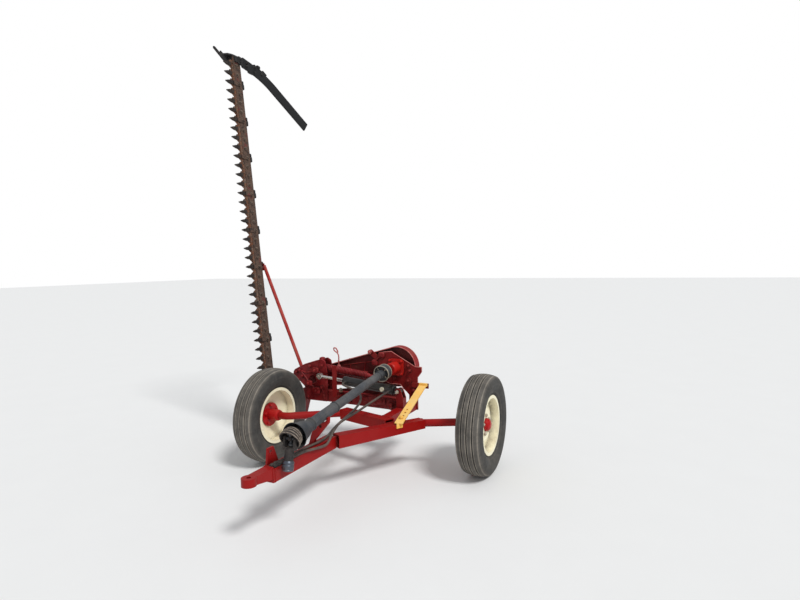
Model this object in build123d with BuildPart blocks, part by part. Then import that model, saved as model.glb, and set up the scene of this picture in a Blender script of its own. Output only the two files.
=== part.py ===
from build123d import *
from math import atan2, cos, hypot, radians, sin, tan
import os

os.makedirs("parts", exist_ok=True)

# Millimetres. +X is the machine's left, +Y points rearwards and +Z up.
# Every place below is measured from the point on the ground midway between the two wheels.
# That point lies at MIDWAY_X, MIDWAY_Y from the origin, which is on the ground below the
# middle of the whole machine.
MIDWAY_X = 271
MIDWAY_Y = 113

# Clearances
RUN = 0.05  # radial play of a shaft in its bore
SEAT = 0.3  # play where two round faces lie against each other
SIDE = 3  # end play of an eye between its cheeks

# Wheels, a 15 inch implement tyre on a dished disc
TRACK = 1540
AXLE_OFFSET = 185  # how far the left wheel stands behind midway, and the right one ahead of it
TYRE_R = 350
TYRE_W = 184
TREAD_W = 150
SHOULDER_DROP = 13
TYRE_WALL = 14
RIM_R = 190.5
RIM_W = 119
FLANGE_H = 17
RIM_WALL = 5
DISC_X = 20  # inner face of the disc's flat, outwards from the tyre's middle
HUB_R = 42
HUB_FLANGE_R = 88
HUB_NOSE_R = 46
HUB_IN = 78  # the hub's inner end, inwards from the tyre's middle
HUB_OUT = 62
SPINDLE_R = 20
SPINDLE_OUT = 44

# Frame
BEAM_BOTTOM = 300
TONGUE_W = 76
TONGUE_H = 76
TONGUE_X = -18
TONGUE_FRONT = -1130
TONGUE_REAR = -520
TUBE_WALL = 6
BEAM_START = (14, -508)
BEAM_END = (346, 108)
BEAM_W = 76
BEAM_H_FRONT = 84
BEAM_H_REAR = 62
CROSS_LEFT = (215, -108)
CROSS_RIGHT = (-262, 28)
CROSS_H = 74
CROSS_W = 74
CROSS_BOTTOM = 322
AXLE_BAR_R = 27
RAIL_X = 135
RAIL_W = 70
RAIL_H = 60
RAIL_TOP = 396
RAIL_REAR = 404

# Hitch
PIN_X = -12
PIN_Y = -1305
PIN_Z = 362
PIN_R = 13
HITCH_T = 44
HITCH_R = 40
NECK_W = 58
NECK_LOW, NECK_HIGH = 319, 386

# Drive line
REAR_JOINT = (0, 200, 662)
FRONT_JOINT = (60, -1040, 520)
REAR_TUBE_R = 29
FRONT_TUBE_R = 33
TUBE_T = 3.5
CROSS_PIN_R = 8
CROSS_REACH = 38
FORK_T = 10
YOKE_NECK = 56
YOKE_DROP = 174
YOKE_TILT = 12  # how far the yoke hangs forwards of plumb, in degrees
YOKE_R = 26
SPLINE_R = 17.5
SPLINE_L = 60
CONE_R = 62
CONE_SHORT = 80  # how far behind the front joint the cone ends
BELL_R = 56
BELL_T = 5
REST_Y = -700
REST_T = 26
REST_GAP = 6

# Belt shield
BIG_X, BIG_Z, BIG_R = 0, 662, 158
SMALL_X, SMALL_Z, SMALL_R = -800, 520, 66
SHIELD_FRONT = 420
SHIELD_DEPTH = 72
SHEET = 3
PANEL_SET = 20
PANEL_T = 6
HOUSING_R = 46
HOUSING_FRONT = 290
STAND_T = 12
KNOB = (-232, 768)
KNOB_R = 19
STRAP_X = 240
STRAP_W = 60
STRAP_T = 8
BRACKET_Z = 548
BRACKET_T = 12

# Lift arm and what it carries
PIVOT_X, PIVOT_Z = 40, 400
PIVOT_R = 20
PIVOT_EAR_R = 44
PIVOT_EAR_T = 20
ARM_FRONT = 262
ARM_DEPTH = 70
ARM_WALL = 7
ELBOW_X, ELBOW_Z = -800, 412
ARM_END_X, ARM_END_Z = -860, 195
CHEEK_T = 12
HINGE_X, HINGE_Z = -985, 140
HINGE_R = 15
LEAN = 5.6  # the raised bar's lean outwards, in degrees
YOKE_FRONT = 108
YOKE_REAR = 346
YOKE_EAR_T = 18
YOKE_BEAM = (-925, -885)
YOKE_BOTTOM = 119
YOKE_H = 66

# Lift cylinder, from its anchor pin to its rod's eye
ANCHOR = (120, 522)
EYE = (-590, 582)
CYLINDER_Y = 205
BARREL_R = 36
BARREL_BORE = 30
BARREL_START = 42
BARREL_END = 480
PORTS = (58, 450)
PORT_R = 13
PORT_OUT = 45
ROD_R = 12
CYLINDER_PIN_R = 10
EYE_PLAY = 2
EYE_W = 28

# Float spring
SPRING_Y = 297
SPRING_IN = (-145, 592)
SPRING_OUT = (-712, 648)
SPRING_R = 30

# Transport rod
STRUT_FOOT = (-816, 607)
STRUT_Y = 285
STRUT_R = 14
STRUT_TOP_S = 1336
CATCH_Z = -67

# Cutter bar, in its own frame: s outwards along the bar from the hinge, y to the guards'
# points, z to the side that faces up in work
BAR_Y = 200
BAR_BACK = -50
BAR_EDGE = 30
BAR_T = 12
BAR_Z = -76
BAR_IN = 40
PITCH = 76.2
GUARDS = 36
GUARD_FIRST = 350
guard_places = [GUARD_FIRST + i * PITCH for i in range(GUARDS)]
BAR_TAIL = 78  # how far the bar goes on past its last guard's middle
BAR_OUT = guard_places[-1] + BAR_TAIL
GUARD_HALF = 31
GUARD_TIP = 135
SECTION_TIP = 100
KNIFE_Z = BAR_Z + 2
SECTION_T = 3

# Swath board
BOARD_REACH = (-45, 354, -27)  # from the bar's end to the bracket's bend
BOARD_FALL = (83, 526, -351)  # from the bend to the board's end
BOARD_W = 83
BOARD_T = 18


def spot(x, y, z):
    """A place given from midway between the wheels."""
    return Vector(MIDWAY_X + x, MIDWAY_Y + y, z)


def level(height, x=0, y=0):
    """A level plane, its X to the left and its Y rearwards."""
    return Plane(origin=spot(x, y, height), x_dir=(1, 0, 0), z_dir=(0, 0, 1))


def facing(y, x=0, height=0):
    """An upright plane across the machine that faces the front, its X to the left."""
    return Plane(origin=spot(x, y, height), x_dir=(1, 0, 0), z_dir=(0, -1, 0))


def beside(x, y=0, height=0):
    """An upright plane along the machine that faces left, its X rearwards."""
    return Plane(origin=spot(x, y, height), x_dir=(0, 1, 0), z_dir=(1, 0, 0))


def toward(start, end, shift=0):
    """A plane at start, or shift beyond it, that looks to end, its Y as upright as can be."""
    run = (spot(*end) - spot(*start)).normalized()
    across = Vector(0, 0, 1).cross(run).normalized()
    return Plane(origin=spot(*start) + run * shift, x_dir=across, z_dir=run)


def bar_plane(s=0, y=0, z=0):
    """The cutter bar's own plane: X outwards along the bar, Y to the points, Z up in work."""
    out = Vector(-sin(radians(LEAN)), 0, cos(radians(LEAN)))
    top = Vector(cos(radians(LEAN)), 0, sin(radians(LEAN)))
    origin = spot(HINGE_X, BAR_Y, HINGE_Z) + out * s + Vector(0, -1, 0) * y + top * z
    return Plane(origin=origin, x_dir=out, z_dir=top)


def bar_section(s):
    """A plane across the cutter bar at s: X to the points, Y up in work, facing outwards."""
    base = bar_plane(s)
    return Plane(origin=base.origin, x_dir=base.y_dir, z_dir=base.x_dir)


def bar_side(y):
    """A plane along the cutter bar at y: X outwards, Y up in work, facing the back."""
    base = bar_plane(0, y)
    return Plane(origin=base.origin, x_dir=base.x_dir, z_dir=-base.y_dir)


def link(first, first_r, second, second_r):
    """The outline round two circles, to be added to a sketch."""
    with BuildSketch() as outline:
        with Locations(first):
            Circle(first_r)
        with Locations(second):
            Circle(second_r)
        make_hull()
    return outline.sketch


def outline_of(points, holes=()):
    """A polygon with round holes, each hole its centre and radius, to be added to a sketch."""
    with BuildSketch() as outline:
        with BuildLine():
            Polyline(*points, close=True)
        make_face()
        for centre, radius in holes:
            with Locations(centre):
                Circle(radius, mode=Mode.SUBTRACT)
    return outline.sketch


def wheel(name, out, x, y):
    """A tyre, rim and hub that turn about X, with the disc and cap on the side out (1 or -1)."""
    axis = Axis(spot(x, y, TYRE_R), (1, 0, 0))
    plane = facing(y, x, TYRE_R)
    bead = RIM_W / 2
    shoulder_r = TYRE_R - SHOULDER_DROP
    widest_r = (RIM_R + TYRE_R) / 2
    with BuildPart() as tyre:
        with BuildSketch(plane):
            with BuildLine():
                bead_r = RIM_R + FLANGE_H + 4
                foot = Line((-bead, RIM_R + SEAT), (-bead, bead_r))
                wall = ThreePointArc(foot @ 1, (-TYRE_W / 2, widest_r), (-TREAD_W / 2, shoulder_r))
                crown = ThreePointArc(wall @ 1, (0, TYRE_R), (TREAD_W / 2, shoulder_r))
                ThreePointArc(crown @ 1, (TYRE_W / 2, widest_r), (bead, bead_r))
                Line((bead, bead_r), (bead, RIM_R + SEAT))
                Line((bead, RIM_R + SEAT), (-bead, RIM_R + SEAT))
            make_face()
            with BuildLine():
                inside = TYRE_W / 2 - TYRE_WALL
                crown_in = (TREAD_W - TYRE_WALL) / 2
                Polyline(
                    (-bead + TYRE_WALL, RIM_R), (-inside, widest_r), (-crown_in, shoulder_r - TYRE_WALL),
                    (crown_in, shoulder_r - TYRE_WALL), (inside, widest_r), (bead - TYRE_WALL, RIM_R),
                    close=True,
                )
            make_face(mode=Mode.SUBTRACT)
        revolve(axis=axis)
    tyre.part.label = f"tyre_{name}"
    export_step(tyre.part, f"parts/tyre_{name}.step")

    lip = bead + SEAT
    with BuildPart() as rim:
        with BuildSketch(plane):
            with BuildLine():
                Polyline(
                    (-lip, RIM_R), (lip, RIM_R), (lip, RIM_R + FLANGE_H), (lip + RIM_WALL, RIM_R + FLANGE_H),
                    (lip + RIM_WALL, RIM_R - RIM_WALL), (-lip - RIM_WALL, RIM_R - RIM_WALL),
                    (-lip - RIM_WALL, RIM_R + FLANGE_H), (-lip, RIM_R + FLANGE_H), close=True,
                )
            make_face()
            with BuildLine():
                Polyline(
                    *[(out * a, b) for a, b in (
                        (DISC_X - 22, RIM_R - RIM_WALL), (DISC_X - 14, RIM_R - 45), (DISC_X, RIM_R - 85),
                        (DISC_X, HUB_NOSE_R + SEAT), (DISC_X + RIM_WALL, HUB_NOSE_R + SEAT),
                        (DISC_X + RIM_WALL, RIM_R - 84), (DISC_X - 9, RIM_R - 44),
                        (DISC_X - 16, RIM_R - RIM_WALL),
                    )],
                    close=True,
                )
            make_face()
        revolve(axis=axis)
    rim.part.label = f"rim_{name}"
    export_step(rim.part, f"parts/rim_{name}.step")

    with BuildPart() as hub:
        with BuildSketch(plane):
            with BuildLine():
                Polyline(
                    *[(out * a, b) for a, b in (
                        (-HUB_IN, SPINDLE_R + RUN), (-HUB_IN, HUB_R - 6), (-HUB_IN + 14, HUB_R),
                        (DISC_X - 12, HUB_R), (DISC_X - 12, HUB_FLANGE_R), (DISC_X, HUB_FLANGE_R),
                        (DISC_X, HUB_NOSE_R), (DISC_X + 16, HUB_NOSE_R), (DISC_X + 18, HUB_NOSE_R - 5),
                        (HUB_OUT - 11, HUB_NOSE_R - 9), (HUB_OUT - 2, HUB_NOSE_R - 25), (HUB_OUT, 0),
                        (SPINDLE_OUT + 2, 0), (SPINDLE_OUT + 2, SPINDLE_R + RUN),
                    )],
                    close=True,
                )
            make_face()
        revolve(axis=axis)
    hub.part.label = f"hub_{name}"
    export_step(hub.part, f"parts/hub_{name}.step")


def axle(name, out, x, y, inner, face):
    """A bent round bar from a face of the frame to a wheel, with the spindle for the hub."""
    shoulder = x - out * (HUB_IN + 2)
    bend = x - out * (HUB_IN + 60)
    start = toward(inner, (bend, y, TYRE_R), -AXLE_BAR_R)
    with BuildPart() as bar:
        with BuildLine() as path:
            FilletPolyline(start.origin, spot(bend, y, TYRE_R), spot(shoulder, y, TYRE_R), radius=90)
        with BuildSketch(start):
            Circle(AXLE_BAR_R)
        sweep(path=path.wires()[0])
        split(bisect_by=face, keep=Keep.TOP)
        with BuildSketch(beside(shoulder, y, TYRE_R)):
            Circle(SPINDLE_R)
        extrude(amount=out * (HUB_IN + 2 + SPINDLE_OUT))
    bar.part.label = f"axle_{name}"
    export_step(bar.part, f"parts/axle_{name}.step")


wheel("left", 1, TRACK / 2, AXLE_OFFSET)
wheel("right", -1, -TRACK / 2, -AXLE_OFFSET)

# The main beam, a tapered box from the tongue's end back and out to the left wheel
beam_mid = BEAM_BOTTOM + BEAM_H_FRONT / 2
beam_run = toward((*BEAM_START, BEAM_BOTTOM), (*BEAM_END, BEAM_BOTTOM))
beam_length = hypot(BEAM_END[0] - BEAM_START[0], BEAM_END[1] - BEAM_START[1])
beam_angle = atan2(BEAM_END[1] - BEAM_START[1], BEAM_END[0] - BEAM_START[0])
with BuildPart() as main_beam:
    with BuildSketch(Plane(beam_run.origin, x_dir=beam_run.z_dir, z_dir=-beam_run.x_dir)):
        with BuildLine():
            Polyline(
                (0, 0), (beam_length, 0), (beam_length, BEAM_H_REAR), (0, BEAM_H_FRONT), close=True
            )
        make_face()
    extrude(amount=BEAM_W / 2, both=True)
    with BuildSketch(Plane(beam_run.origin, x_dir=beam_run.z_dir, z_dir=-beam_run.x_dir)):
        with BuildLine():
            Polyline(
                (-1, TUBE_WALL), (beam_length - TUBE_WALL, TUBE_WALL),
                (beam_length - TUBE_WALL, BEAM_H_REAR - TUBE_WALL), (-1, BEAM_H_FRONT - TUBE_WALL),
                close=True,
            )
        make_face()
    extrude(amount=BEAM_W / 2 - TUBE_WALL, both=True, mode=Mode.SUBTRACT)
main_beam.part.label = "main_beam"
export_step(main_beam.part, "parts/main_beam.step")

shaft_length = (spot(*REAR_JOINT) - spot(*FRONT_JOINT)).length


def shaft_at(y):
    """The drive shaft's axis where it passes y: how far left and how high."""
    share = (y - FRONT_JOINT[1]) / (REAR_JOINT[1] - FRONT_JOINT[1])
    return [FRONT_JOINT[i] + share * (REAR_JOINT[i] - FRONT_JOINT[i]) for i in (0, 2)]


# The tongue, a square tube that ends against the main beam's front, with an upright plate at
# its front and the rest that the drive shaft lies over
tongue_top = BEAM_BOTTOM + TONGUE_H
rest_x, rest_z = shaft_at(REST_Y)
with BuildPart() as tongue:
    with BuildSketch(facing(TONGUE_FRONT, TONGUE_X, BEAM_BOTTOM + TONGUE_H / 2)):
        Rectangle(TONGUE_W, TONGUE_H)
        Rectangle(TONGUE_W - 2 * TUBE_WALL, TONGUE_H - 2 * TUBE_WALL, mode=Mode.SUBTRACT)
    extrude(amount=TONGUE_FRONT - TONGUE_REAR)
    split(bisect_by=Plane(beam_run.origin, z_dir=beam_run.z_dir), keep=Keep.BOTTOM)
    with BuildSketch(beside(TONGUE_X - TONGUE_W / 2, TONGUE_FRONT, tongue_top)):
        add(outline_of([(10, 0), (110, 0), (70, 95), (22, 95)], [((45, 70), 11)]))
    extrude(amount=12)
    with BuildSketch(facing(REST_Y + REST_T / 2)):
        add(outline_of(
            [
                (TONGUE_X - 37, tongue_top), (TONGUE_X, tongue_top), (TONGUE_X + 2, tongue_top + 24),
                (rest_x + 44, rest_z - 40),
                (rest_x + 48, rest_z - 4), (rest_x - 48, rest_z - 4), (rest_x - 58, rest_z - 60),
            ],
            [((rest_x, rest_z), FRONT_TUBE_R + REST_GAP), ((rest_x - 10, rest_z - 62), 10)],
        ))
    extrude(amount=REST_T)
tongue.part.label = "tongue"
export_step(tongue.part, "parts/tongue.step")

# The hitch: a forged eye for the drawbar's pin, on a neck off the tongue's end plate
neck_rear = TONGUE_FRONT - 16
hitch_low = PIN_Z - HITCH_T / 2
with BuildPart() as hitch:
    with BuildSketch(facing(TONGUE_FRONT, TONGUE_X, BEAM_BOTTOM + TONGUE_H / 2)):
        Rectangle(TONGUE_W, TONGUE_H)
    extrude(amount=16)
    with BuildSketch(beside(PIN_X - NECK_W / 2)):
        add(outline_of([
            (neck_rear, NECK_LOW), (neck_rear, NECK_HIGH), (PIN_Y + 20, hitch_low + HITCH_T),
            (PIN_Y + 20, hitch_low),
        ]))
    extrude(amount=NECK_W)
    with BuildSketch(level(hitch_low, PIN_X, PIN_Y)):
        Circle(HITCH_R)
    extrude(amount=HITCH_T)
    with BuildSketch(level(hitch_low, PIN_X, PIN_Y)):
        Circle(PIN_R)
    extrude(amount=HITCH_T, mode=Mode.SUBTRACT)
hitch.part.label = "hitch_clevis"
export_step(hitch.part, "parts/hitch_clevis.step")

# The cross member, a box between the main beam and the right axle
beam_face = Plane(
    origin=spot(*BEAM_START, 0) - Vector(sin(beam_angle), -cos(beam_angle), 0) * (BEAM_W / 2),
    z_dir=Vector(sin(beam_angle), -cos(beam_angle), 0),
)
cross_mid = CROSS_BOTTOM + CROSS_H / 2
with BuildPart() as cross_member:
    with BuildSketch(toward((*CROSS_RIGHT, cross_mid), (*CROSS_LEFT, cross_mid))):
        Rectangle(CROSS_W, CROSS_H)
        Rectangle(CROSS_W - 2 * TUBE_WALL, CROSS_H - 2 * TUBE_WALL, mode=Mode.SUBTRACT)
    extrude(amount=600)
    split(bisect_by=beam_face, keep=Keep.BOTTOM)
cross_member.part.label = "cross_member"
export_step(cross_member.part, "parts/cross_member.step")

# The axles, cut off square to the faces that they are welded to
beam_end_mid = BEAM_BOTTOM + BEAM_H_REAR / 2
beam_tail = Plane(origin=spot(*BEAM_END, 0), z_dir=beam_run.z_dir)
cross_tail = Plane(
    origin=spot(*CROSS_RIGHT, 0), z_dir=spot(*CROSS_RIGHT, 0) - spot(*CROSS_LEFT, 0)
)
axle("left", 1, TRACK / 2, AXLE_OFFSET, (*BEAM_END, beam_end_mid), beam_tail)
axle("right", -1, -TRACK / 2, -AXLE_OFFSET, (*CROSS_RIGHT, cross_mid), cross_tail)

# The rail from the cross member to the drive stand, with the lift arm's pivot on its side: two
# ears and the pin between them
cross_back = cross_tail.z_dir.cross(Vector(0, 0, -1))
if cross_back.Y < 0:
    cross_back = -cross_back
rail_side = RAIL_X - RAIL_W / 2
with BuildPart() as rail:
    with BuildSketch(facing(RAIL_REAR, RAIL_X, RAIL_TOP - RAIL_H / 2)):
        Rectangle(RAIL_W, RAIL_H)
        Rectangle(RAIL_W - 2 * TUBE_WALL, RAIL_H - 2 * TUBE_WALL, mode=Mode.SUBTRACT)
    extrude(amount=RAIL_REAR + 200)
    split(bisect_by=Plane(cross_tail.origin + cross_back * (CROSS_W / 2), z_dir=cross_back), keep=Keep.TOP)
    for front in (ARM_FRONT - SIDE - PIVOT_EAR_T, ARM_FRONT + ARM_DEPTH + SIDE):
        with BuildSketch(facing(front + PIVOT_EAR_T)):
            with Locations((PIVOT_X, PIVOT_Z)):
                Circle(PIVOT_EAR_R)
            with Locations((rail_side - 6, RAIL_TOP - RAIL_H / 2)):
                Rectangle(12, RAIL_H)
            make_hull()
        extrude(amount=PIVOT_EAR_T)
    with BuildSketch(facing(ARM_FRONT + ARM_DEPTH + SIDE + 5, PIVOT_X, PIVOT_Z)):
        Circle(PIVOT_R)
    extrude(amount=ARM_DEPTH + 2 * SIDE + PIVOT_EAR_T + 25)
    with BuildSketch(facing(ARM_FRONT - SIDE - PIVOT_EAR_T, PIVOT_X, PIVOT_Z)):
        Circle(PIVOT_R + 10)
    extrude(amount=12)
rail.part.label = "rear_rail"
export_step(rail.part, "parts/rear_rail.step")

# The lift cylinder's anchor: a post on the rail with two ears
ANCHOR_EYE_W = 30
ANCHOR_EAR_T = 10
ANCHOR_EAR_R = 24
post_x = RAIL_X
with BuildPart() as anchor:
    with BuildSketch(level(RAIL_TOP, post_x, CYLINDER_Y)):
        Rectangle(56, ANCHOR_EYE_W + 2 * SIDE + 2 * ANCHOR_EAR_T)
    extrude(amount=ANCHOR[1] - 48 - RAIL_TOP)
    for rear in (CYLINDER_Y - ANCHOR_EYE_W / 2 - SIDE, CYLINDER_Y + ANCHOR_EYE_W / 2 + SIDE + ANCHOR_EAR_T):
        with BuildSketch(facing(rear)):
            with Locations(ANCHOR):
                Circle(ANCHOR_EAR_R)
            with Locations((post_x, ANCHOR[1] - 54)):
                Rectangle(56, 12)
            make_hull()
        extrude(amount=ANCHOR_EAR_T)
    with BuildSketch(facing(CYLINDER_Y + ANCHOR_EYE_W / 2 + SIDE + ANCHOR_EAR_T + 6, *ANCHOR)):
        Circle(CYLINDER_PIN_R)
    extrude(amount=ANCHOR_EYE_W + 2 * SIDE + 2 * ANCHOR_EAR_T + 12)
anchor.part.label = "cylinder_anchor"
export_step(anchor.part, "parts/cylinder_anchor.step")

# The drive stand: an upright plate across the rail's end that carries the drive and its
# shield, with a lug for the float spring
stand_rear = RAIL_REAR + STAND_T
panel_front = SHIELD_FRONT + PANEL_SET
bracket_left = STRAP_X + STRAP_W / 2 + 5
with BuildPart() as stand:
    with BuildSketch(facing(stand_rear)):
        add(outline_of(
            [
                (RAIL_X - 28, RAIL_TOP - RAIL_H), (RAIL_X + 45, RAIL_TOP - RAIL_H),
                (RAIL_X + 45, 590), (215, 636), (215, 674), (165, 671), (-45, 782), (-120, 772),
                (-165, 715), (-165, 640), (-150, 560), (-60, 525), (31, 525), (75, 480),
                (RAIL_X - 28, 450),
            ],
            [((BIG_X, BIG_Z), HOUSING_R - 6)],
        ))
        add(link(KNOB, KNOB_R, (-150, 700), 20))
    extrude(amount=STAND_T)
    with BuildSketch(facing(RAIL_REAR)):
        with Locations(KNOB):
            Circle(KNOB_R)
        with Locations((107, 560)):
            Circle(24)
    extrude(amount=14)
    with BuildSketch(facing(RAIL_REAR)):
        with Locations((-130, 592)):
            Rectangle(20, 36)
    extrude(amount=RAIL_REAR - SPRING_Y + 14)
    with BuildSketch(facing(stand_rear)):
        with Locations((-110, 600), (90, 590)):
            Circle(11)
    extrude(amount=stand_rear - panel_front)
    with BuildSketch(facing(RAIL_REAR)):
        with Locations(((RAIL_X + bracket_left) / 2, BRACKET_Z - 18)):
            Rectangle(bracket_left - RAIL_X, 34)
    extrude(amount=BRACKET_T)
stand.part.label = "drive_stand"
export_step(stand.part, "parts/drive_stand.step")

# The bearing housing, with its spigot through the stand
with BuildPart() as housing:
    with BuildSketch(facing(RAIL_REAR, BIG_X, BIG_Z)):
        Circle(HOUSING_R)
    extrude(amount=RAIL_REAR - HOUSING_FRONT)
    with BuildSketch(facing(RAIL_REAR, BIG_X, BIG_Z)):
        RectangleRounded(132, 132, 30)
    extrude(amount=14)
    with BuildSketch(facing(RAIL_REAR, BIG_X, BIG_Z)):
        Circle(HOUSING_R - 6 - SEAT)
    extrude(amount=RAIL_REAR - panel_front)
    chamfer(housing.faces().sort_by(Axis.Y)[0].edges(), 6)
    with BuildSketch(facing(panel_front, BIG_X, BIG_Z)):
        Circle(SPLINE_R + SEAT)
    extrude(amount=200, mode=Mode.SUBTRACT)
housing.part.label = "bearing_housing"
export_step(housing.part, "parts/bearing_housing.step")

# The belt shield: a pan that is open to the front, and the panel set back inside its rim
with BuildPart() as shield:
    with BuildSketch(facing(SHIELD_FRONT)):
        add(link((BIG_X, BIG_Z), BIG_R, (SMALL_X, SMALL_Z), SMALL_R))
    extrude(amount=-SHIELD_DEPTH)
    with BuildSketch(facing(SHIELD_FRONT)):
        add(link((BIG_X, BIG_Z), BIG_R - SHEET, (SMALL_X, SMALL_Z), SMALL_R - SHEET))
    extrude(amount=SHEET - SHIELD_DEPTH, mode=Mode.SUBTRACT)
shield.part.label = "belt_shield"
export_step(shield.part, "parts/belt_shield.step")

inset = SHEET + SEAT
with BuildPart() as panel:
    with BuildSketch(facing(panel_front)):
        add(link((BIG_X, BIG_Z), BIG_R - inset, (SMALL_X, SMALL_Z), SMALL_R - inset))
    extrude(amount=-PANEL_T)
panel.part.label = "shield_panel"
export_step(panel.part, "parts/shield_panel.step")

# The strap that ties the drive stand down to the main beam, hooked over the beam's edge
beam_share = 0.672
beam_top_there = BEAM_BOTTOM + BEAM_H_FRONT + beam_share * (BEAM_H_REAR - BEAM_H_FRONT)
strap_low = (STRAP_X + 31, -124, beam_top_there + 10)
strap_high = (STRAP_X, RAIL_REAR - 34, BRACKET_Z - 8)
strap_plane = toward(strap_low, strap_high)
with BuildPart() as strap:
    with BuildSketch(Plane(strap_plane.origin, x_dir=strap_plane.z_dir, z_dir=strap_plane.y_dir)):
        Rectangle(
            (spot(*strap_high) - spot(*strap_low)).length, STRAP_W, align=(Align.MIN, Align.CENTER)
        )
        with Locations((95, 0), (135, 0), (175, 0)):
            Circle(8, mode=Mode.SUBTRACT)
    extrude(amount=STRAP_T / 2, both=True)
    with BuildSketch(level(beam_top_there + SEAT, STRAP_X + 27, -70)):
        Circle(10)
    extrude(amount=38)
    with BuildSketch(Plane(
        beam_face.origin + beam_face.z_dir * (BEAM_W + SEAT), x_dir=beam_run.z_dir,
        z_dir=beam_face.z_dir,
    )):
        with Locations((beam_share * beam_length, beam_top_there - 4)):
            Rectangle(50, 36)
    extrude(amount=STRAP_T)
    with BuildSketch(facing(RAIL_REAR - BRACKET_T - SEAT, STRAP_X, BRACKET_Z - 4)):
        Rectangle(STRAP_W, 24)
    extrude(amount=30)
strap.part.label = "transport_strap"
export_step(strap.part, "parts/transport_strap.step")

# The drive line: the input shaft's fork and cross, which stay with the frame
shaft = toward(REAR_JOINT, FRONT_JOINT)


def on_shaft(t):
    """A plane across the drive shaft at t from its rear joint, facing forwards."""
    return Plane(origin=shaft.origin + shaft.z_dir * t, x_dir=shaft.x_dir, z_dir=shaft.z_dir)


def cross_pin(centre, direction):
    """A plane at one end of a joint cross's pin, facing along it."""
    return Plane(origin=centre - direction * CROSS_REACH, z_dir=direction)


rear_centre = on_shaft(0).origin
front_centre = on_shaft(shaft_length).origin
FORK_IN = CROSS_REACH - FORK_T
with BuildPart() as input_fork:
    with BuildSketch(facing(panel_front, BIG_X, BIG_Z)):
        Circle(SPLINE_R)
    extrude(amount=panel_front - REAR_JOINT[1] - 40)
    with BuildSketch(facing(REAR_JOINT[1] + 52, BIG_X, BIG_Z)):
        Rectangle(32, 2 * CROSS_REACH)
    extrude(amount=14)
    for high in (BIG_Z + FORK_IN, BIG_Z - CROSS_REACH):
        with BuildSketch(level(high, BIG_X, REAR_JOINT[1])):
            Circle(16)
            with Locations((0, 22)):
                Rectangle(32, 44)
        extrude(amount=FORK_T)
    for direction in (shaft.x_dir, Vector(0, 0, 1)):
        with BuildSketch(cross_pin(rear_centre, direction)):
            Circle(CROSS_PIN_R)
        extrude(amount=2 * CROSS_REACH)
input_fork.part.label = "input_fork"
export_step(input_fork.part, "parts/input_fork.step")

# The rear half of the shaft, its fork round the cross's level pins
REAR_TUBE_END = shaft_length - 230
with BuildPart() as rear_tube:
    with BuildSketch(on_shaft(46)):
        Circle(REAR_TUBE_R)
    extrude(amount=REAR_TUBE_END - 46)
    with BuildSketch(on_shaft(60)):
        Circle(REAR_TUBE_R - TUBE_T)
    extrude(amount=REAR_TUBE_END, mode=Mode.SUBTRACT)
    with BuildSketch(on_shaft(38)):
        Rectangle(2 * CROSS_REACH, 32)
    extrude(amount=10)
    for side in (-1, 1):
        ear = Plane(
            origin=rear_centre + shaft.x_dir * (side * FORK_IN),
            x_dir=shaft.z_dir,
            z_dir=shaft.x_dir * side,
        )
        with BuildSketch(ear):
            Circle(16)
            with Locations((22, 0)):
                Rectangle(44, 32)
            Circle(CROSS_PIN_R + RUN, mode=Mode.SUBTRACT)
        extrude(amount=FORK_T)
rear_tube.part.label = "shaft_rear_tube"
export_step(rear_tube.part, "parts/shaft_rear_tube.step")


def flare(stations):
    """A thin round bell about the shaft, from stations of place, inner and outer radius."""
    side = Plane(origin=shaft.origin, x_dir=shaft.z_dir, z_dir=-shaft.x_dir)
    with BuildPart() as bell:
        with BuildSketch(side):
            with BuildLine():
                Polyline(
                    *[(t, outer) for t, inner, outer in stations],
                    *[(t, inner) for t, inner, outer in reversed(stations)],
                    close=True,
                )
            make_face()
        revolve(axis=Axis(shaft.origin, shaft.z_dir))
    return bell


rear_bell = flare([
    (110, REAR_TUBE_R + SEAT, REAR_TUBE_R + 5), (66, REAR_TUBE_R + SEAT, REAR_TUBE_R + 9),
    (44, CROSS_REACH + 9, CROSS_REACH + 14), (0, BELL_R - BELL_T, BELL_R),
    (-10, BELL_R - BELL_T, BELL_R),
])
rear_bell.part.label = "shaft_rear_bell"
export_step(rear_bell.part, "parts/shaft_rear_bell.step")

# The front half, which slides over the rear one
FRONT_TUBE_LENGTH = 430
front_start = shaft_length - 60
with BuildPart() as front_tube:
    with BuildSketch(on_shaft(front_start - FRONT_TUBE_LENGTH)):
        Circle(FRONT_TUBE_R)
    extrude(amount=FRONT_TUBE_LENGTH)
    with BuildSketch(on_shaft(front_start - FRONT_TUBE_LENGTH)):
        Circle(REAR_TUBE_R + RUN)
    extrude(amount=FRONT_TUBE_LENGTH - 12, mode=Mode.SUBTRACT)
    with BuildSketch(on_shaft(front_start)):
        Rectangle(32, 2 * CROSS_REACH)
    extrude(amount=22)
    for high in (FORK_IN, -CROSS_REACH):
        ear = Plane(
            origin=front_centre + shaft.y_dir * high, x_dir=shaft.x_dir, z_dir=shaft.y_dir
        )
        with BuildSketch(ear):
            Circle(16)
            with Locations((0, 22)):
                Rectangle(32, 44)
        extrude(amount=FORK_T)
    for direction in (shaft.x_dir, shaft.y_dir):
        with BuildSketch(cross_pin(front_centre, direction)):
            Circle(CROSS_PIN_R)
        extrude(amount=2 * CROSS_REACH)
front_tube.part.label = "shaft_front_tube"
export_step(front_tube.part, "parts/shaft_front_tube.step")

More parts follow.
